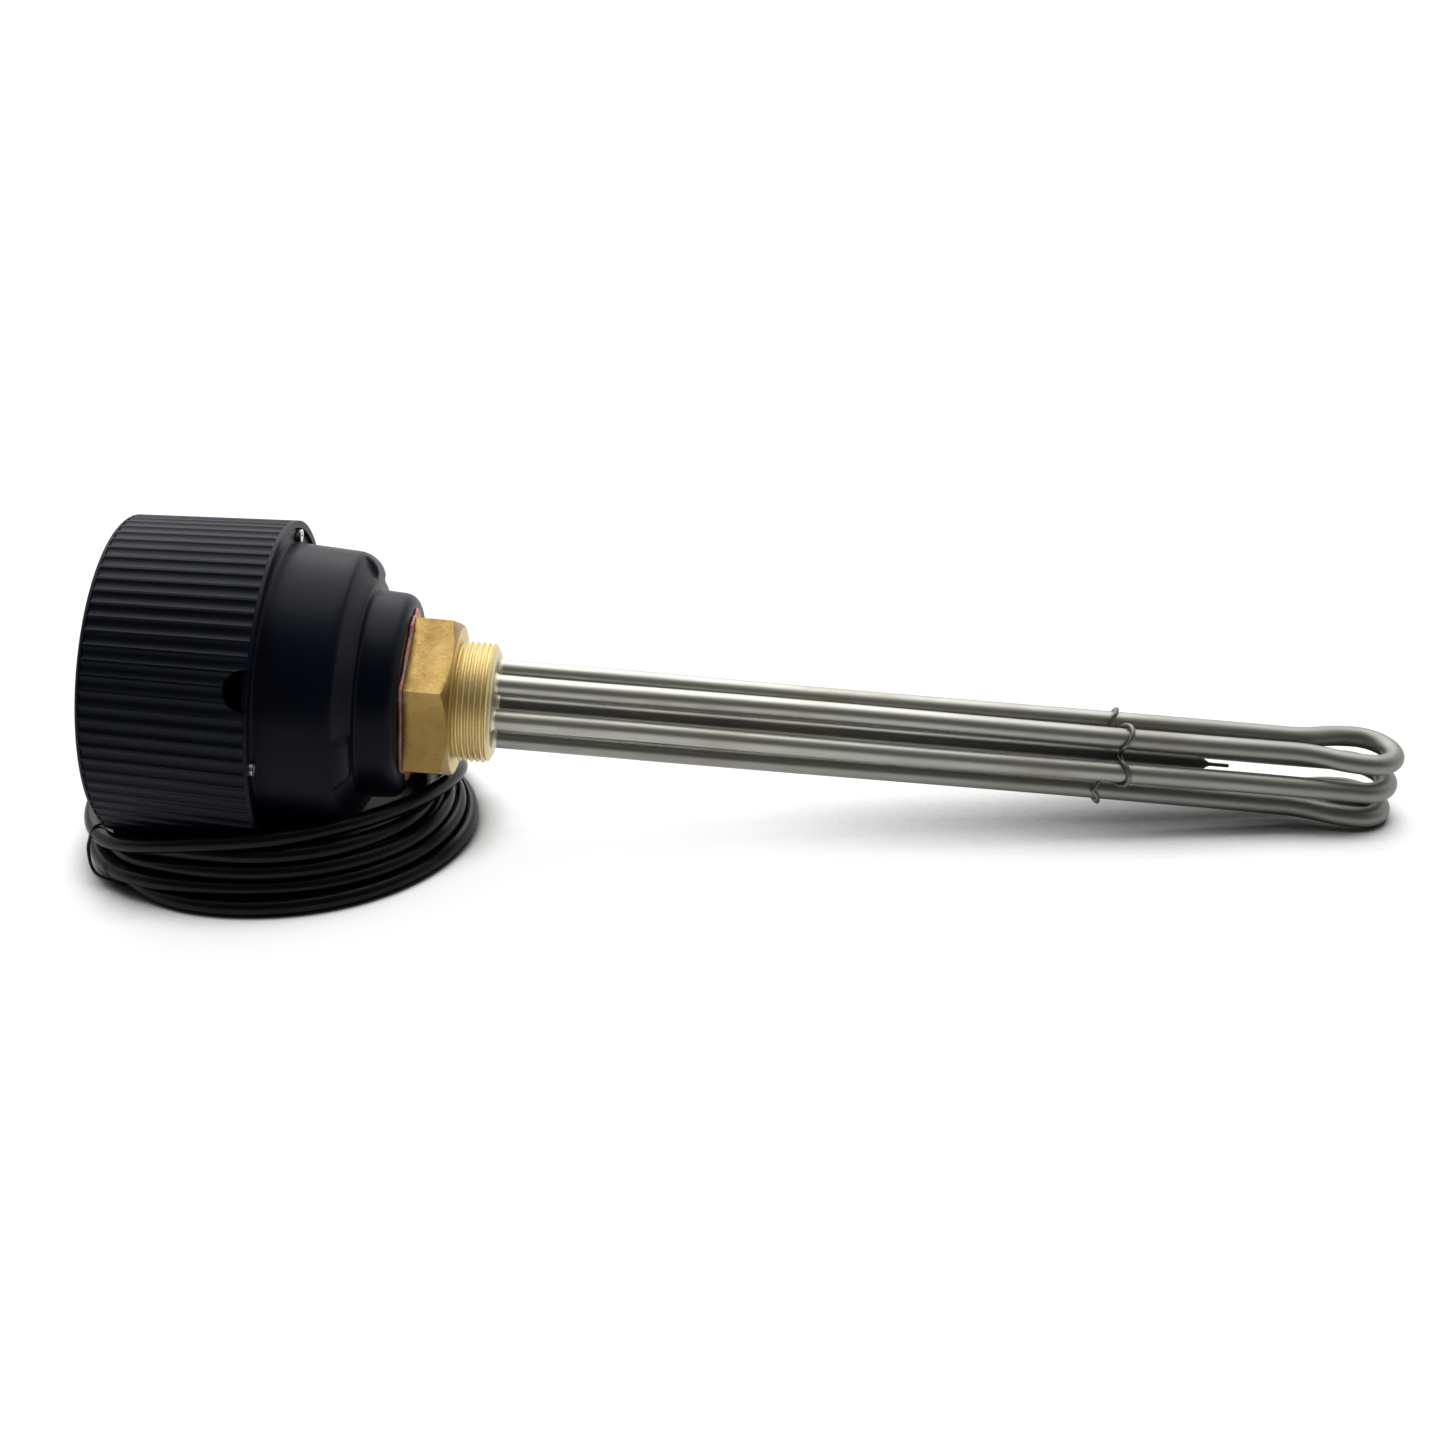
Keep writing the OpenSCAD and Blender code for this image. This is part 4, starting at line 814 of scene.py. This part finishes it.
# Hairpin elements with bulged ends, each a little off straight
hairpin = {"tube": 4.1, "reach": 374.0, "cold": -38.05, "joggle": 43.0, "sway": 0.22, "free": (16, 372, 60),
           "rows": [("elementUpper", "heating_element_upper", 11.743, 6.78, 12.0, "tubeSteel"),
                    ("elementMiddle", "heating_element_middle", 0.0, 13.56, 13.56, "tubeSteel"),
                    # the lower element wears the painted-shade copy of the tube steel
                    ("elementLower", "heating_element_lower", -11.743, 6.78, 12.0, "tubeSteelShaded")]}
for index, (name, node, height, halfGap, bend, finish) in enumerate(hairpin["rows"]):
    shift, joggle = bend - halfGap, hairpin["joggle"]
    angle = math.acos(1 - shift / 2 / joggle)
    bendX = hairpin["reach"] - hairpin["tube"] - bend
    joggleX = bendX - 2 * joggle * math.sin(angle)
    leg = [(x, halfGap) for x in np.linspace(hairpin["cold"], joggleX, 90)]
    if shift > 0.01:
        leg += [(joggleX + joggle * math.sin(a), halfGap + joggle * (1 - math.cos(a)))
                for a in np.linspace(0, angle, 9)[1:]]
        leg += [(bendX - joggle * math.sin(a), bend - joggle * (1 - math.cos(a)))
                for a in np.linspace(angle, 0, 9)[1:]]
    arc = [(bendX + bend * math.sin(a), bend * math.cos(a)) for a in np.linspace(0, math.pi, 41)[1:-1]]
    flatLine = np.array(leg + arc + [(x, -y) for x, y in leg[::-1]])
    line = np.stack([flatLine[:, 0], flatLine[:, 1], np.full(len(flatLine), height)], 1)
    start, end, fade = hairpin["free"]
    free = np.clip((line[:, 0] - start) / fade, 0, 1) * np.clip((end - line[:, 0]) / fade, 0, 1)
    line[:, 2] += hairpin["sway"] * free * np.sin(line[:, 0] / 47 + index * 2.1 + np.sign(line[:, 1]))
    line[:, 1] += hairpin["sway"] * 0.7 * free * np.sin(line[:, 0] / 39 + index * 1.3 + np.sign(line[:, 1]) * 2)
    makePiece(name, sweep(line, hairpin["tube"], 28), finish, replaces=(node,), sharp=50)

# Thermowell: a tube pinched flat and cut square at its end
well = {"tube": 4.1, "from": -36.05, "pinch": 293.0, "pinchRun": 6.0, "tail": (300, 303, 305.4, 305.85, 306),
        "half": (3.5, 0.75), "angle": 27.0}
w1 = math.radians(well["angle"])
wide, thin = np.array([0, -math.cos(w1), math.sin(w1)]), np.array([0, math.sin(w1), math.cos(w1)])
t = fullTurn(32)
wellRings = []
for x in np.concatenate([np.linspace(well["from"], well["pinch"], 60),
                         np.linspace(well["pinch"], well["pinch"] + well["pinchRun"], 13)[1:], well["tail"]]):
    share = ease((x - well["pinch"]) / well["pinchRun"])
    a, b = (well["tube"] + (half - well["tube"]) * share for half in well["half"])
    power = 1 - 0.55 * share  # round tube to squarer tail
    shrink = 0.94 if x >= well["tail"][-1] else 1.0
    c, s = (np.sign(k) * np.abs(k) ** power for k in (np.cos(t), np.sin(t)))
    wellRings.append(np.array([x, 0, 0]) + shrink * (a * c[:, None] * wide + b * s[:, None] * thin))
makePiece("thermowell", ringSkin(wellRings), "wellSteelShaded", replaces=("thermowell",), sharp=50)

# Wire clip: one spring wire that hugs the outer side of each tube and tucks in between
clip = {"at": 259.0, "legs": 13.56, "hug": 5.1, "tuck": 10.4, "wire": 0.95, "bow": 3.2, "bowMid": 0.6,
        "wander": [3.4, 3.6, 0, -1, -3, -5]}
clipSpots = []
for k in range(6):
    here, after = clip["wander"][k], clip["wander"][(k + 1) % 6]
    for d in (-84, -56, -28, 0, 28, 56, 84):
        a, b = math.radians(60 * k), math.radians(60 * k + d)
        x = clip["at"] + here + clip["bow"] * (math.cos(math.radians(d)) - clip["bowMid"])
        clipSpots.append((x, -clip["legs"] * math.cos(a) - clip["hug"] * math.cos(b),
                          clip["legs"] * math.sin(a) + clip["hug"] * math.sin(b)))
    a = math.radians(60 * k + 30)
    clipSpots.append((clip["at"] + (here + after) / 2 - clip["bow"] * clip["bowMid"],
                      -clip["tuck"] * math.cos(a), clip["tuck"] * math.sin(a)))
clipLine = evenly(smoothLine(clipSpots + clipSpots[:2], 0.4)[: -1], 0.7)[0]
half = len(clipLine) // 2
clipLine = clipLine[:half + int(np.argmin(np.linalg.norm(clipLine[half:] - clipLine[0], axis=1)))]
makePiece("wireClip", sweep(clipLine, clip["wire"], 12, closed=True), "clipSteel",
          replaces=("element_clip",))
print("elements, thermowell and clip made")

# Dial printed on the closed end round the knob, and a white line in the knob's slot that stands at 1 and ends at 7
dial = {"face": -132.83, "ticks": 31, "every": 5, "from": 225.0, "sweep": -270.0, "inner": 23.0, "outer": 25.6,
        "long": 27.2, "halfWide": (0.22, 0.38), "thick": 0.06, "sunk": -0.1, "numberR": 31.2, "number": 5.2}
knobMark = {"floor": -143.63, "from": 4.2, "to": 13.2, "halfWide": 0.9, "thick": 0.15}
away, right, up = np.array([-1.0, 0, 0]), np.array([0, -1.0, 0]), np.array([0, 0, 1.0])


def spoke(degrees):
    a = math.radians(degrees)
    return np.array([0, -math.cos(a), math.sin(a)]), np.array([0, math.sin(a), math.cos(a)])


def painted(face, degrees, inner, outer, halfWide, thick):  # a thin bar along a radius
    ray, across = spoke(degrees)
    centre = np.array([face, 0, 0]) + ray * (inner + outer) / 2
    corners = [centre + ray * i * ((outer - inner) / 2) + across * j * halfWide + away * proud
               for proud in (dial["sunk"], thick) for i, j in ((-1, -1), (1, -1), (1, 1), (-1, 1))]
    return np.array(corners), [(0, 3, 2, 1), (4, 5, 6, 7), (0, 1, 5, 4), (1, 2, 6, 5), (2, 3, 7, 6), (3, 0, 4, 7)]


tickSkins, numberSkins = [], []
for k in range(dial["ticks"]):
    at = dial["from"] + dial["sweep"] * k / (dial["ticks"] - 1)
    isLong = k % dial["every"] == 0
    tickSkins.append(painted(dial["face"], at, dial["inner"], dial["long"] if isLong else dial["outer"],
                             dial["halfWide"][isLong], dial["thick"]))
    if isLong:
        words = bpy.data.curves.new("dialNumber", "FONT")
        words.body, words.size = str(k // dial["every"] + 1), dial["number"]
        words.align_x, words.align_y = "CENTER", "CENTER"
        words.extrude, words.resolution_u = 0.05, 4
        letter = bpy.data.objects.new("dialNumber", words)
        scene.collection.objects.link(letter)
        shape = letter.evaluated_get(bpy.context.evaluated_depsgraph_get()).to_mesh()
        middle = np.array([dial["face"] - 0.02, 0, 0]) + spoke(at)[0] * dial["numberR"]
        spots = np.array([middle + right * v.co.x + up * v.co.y + away * v.co.z for v in shape.vertices])
        numberSkins.append((spots, [tuple(f.vertices) for f in shape.polygons]))
        bpy.data.objects.remove(letter)
makePiece("dialTicks", joinSkins(tickSkins), "printWhite", sharp=30)
makePiece("dialNumbers", joinSkins(numberSkins), "printWhite", sharp=30)
makePiece("knobPointer", painted(knobMark["floor"], dial["from"], knobMark["from"], knobMark["to"],
                                 knobMark["halfWide"], knobMark["thick"]),
          "printWhite", body="knob", sharp=30)
print("dial and pointer made")

# CAD pieces that keep their solids
dress = {"cover_cap": "coverBlack", "cover_seal": "sealRubber", "cover_screws": "nickel",
         "lock_nut": "linkBrass", "pin_insulators": "ceramic", "terminal_pins": "zincSteel", "pin_links": "linkBrass",
         "pin_nuts": "zincSteel", "thermostat_bracket": "zincSteel", "bracket_screws": "zincSteel",
         "thermostat_body": "housingGrey", "thermostat_stem": "copperStem", "thermostat_spindle": "zincSteel",
         "temperature_knob": "knobBlack", "pilot_lamp": "lensRed", "terminal_block": "blockWhite",
         "terminal_screws": "linkBrass", "earth_screw": "linkBrass", "wire_live": "wireBrown",
         "wire_switched": "wireBlack", "wire_neutral": "wireBlue", "wire_earth": "wireGreen"}
for name, finish in dress.items():
    node = nodes[name]
    if node.material_slots:
        for place in node.material_slots:
            place.material = finishes[finish]
    else:
        node.data.materials.append(finishes[finish])
print("CAD nodes dressed:", len(dress))

# White sweep, one wide soft light overhead, and a room that is white behind and dim towards the camera
studio = {"floor": 0.30, "half": 9, "glow": 0.87, "shade": (0.42, 0.86), "reach": 0.040, "world": 0.34,
          "front": 0.15, "fade": (-0.55, 0.25), "sun": 2.4, "sunWidth": 75.0, "sunFrom": (-0.10, 0.68, 1.0)}
black, white = (0, 0, 0, 1), (1, 1, 1, 1)


def seenDirectly(w):
    seen = (w.node("LightPath", out="Is Camera Ray") + w.node("LightPath", out="Is Glossy Ray")
            + w.node("LightPath", out="Is Transmission Ray"))
    return seen.sum("MINIMUM", seen, 1.0)


floorMesh = bpy.data.meshes.new("floor")
half = studio["half"]
floorMesh.from_pydata([(-half, -half, 0), (half, -half, 0), (half, half, 0), (-half, half, 0)], [], [(0, 1, 2, 3)])
floor = bpy.data.objects.new("floor", floorMesh)
scene.collection.objects.link(floor)
made, w = startFinish("floorWhite")
tone = w.noise(w.place(), 3.0, 2.0)
# painted contact shadow: the floor's glow fades out where ambient occlusion finds the object close by
clear = w.node("AmbientOcclusion", {"samples": 12}, {"Distance": studio["reach"]}, "AO")
glowWithPaintedShadow = w.blend(seenDirectly(w) * clear.step(*studio["shade"]), black, white)
shine = w.node("Emission", {}, {"Color": glowWithPaintedShadow, "Strength": studio["glow"]})
paint = [(grey, grey, grey, 1) for grey in (studio["floor"], studio["floor"] - 0.01)]
matte = w.node("BsdfDiffuse", {}, {"Color": w.blend(tone * 0.2, *paint)})
w.node("OutputMaterial", {}, {"Surface": w.node("AddShader", {}, {0: shine, 1: matte})})
floorMesh.materials.append(made)
world = bpy.data.worlds.new("studio")
world.use_nodes = True
world.node_tree.nodes.clear()
w = Wire(world.node_tree)
toBack = w.axis(w.node("TexCoord", out="Generated"), "Y").step(*studio["fade"])
room = studio["front"] + toBack * (1 - studio["front"])
camRay = w.node("LightPath", out="Is Camera Ray")
seen = seenDirectly(w)
level = room * (studio["world"] + seen * (1 - studio["world"]))
level = level + camRay * (1 - level)
backdrop = w.node("Background", {}, {"Color": w.blend(level, black, white), "Strength": 1.0})
w.node("OutputWorld", {}, {"Surface": backdrop})
scene.world = world
wideSun = bpy.data.lights.new("wideSun", "SUN")
wideSun.energy, wideSun.angle = studio["sun"], math.radians(studio["sunWidth"])
lamp = bpy.data.objects.new("wideSun", wideSun)
lamp.location = Vector(studio["sunFrom"])
lamp.rotation_euler = (-Vector(studio["sunFrom"])).to_track_quat("-Z", "Y").to_euler()
scene.collection.objects.link(lamp)
print("studio set")
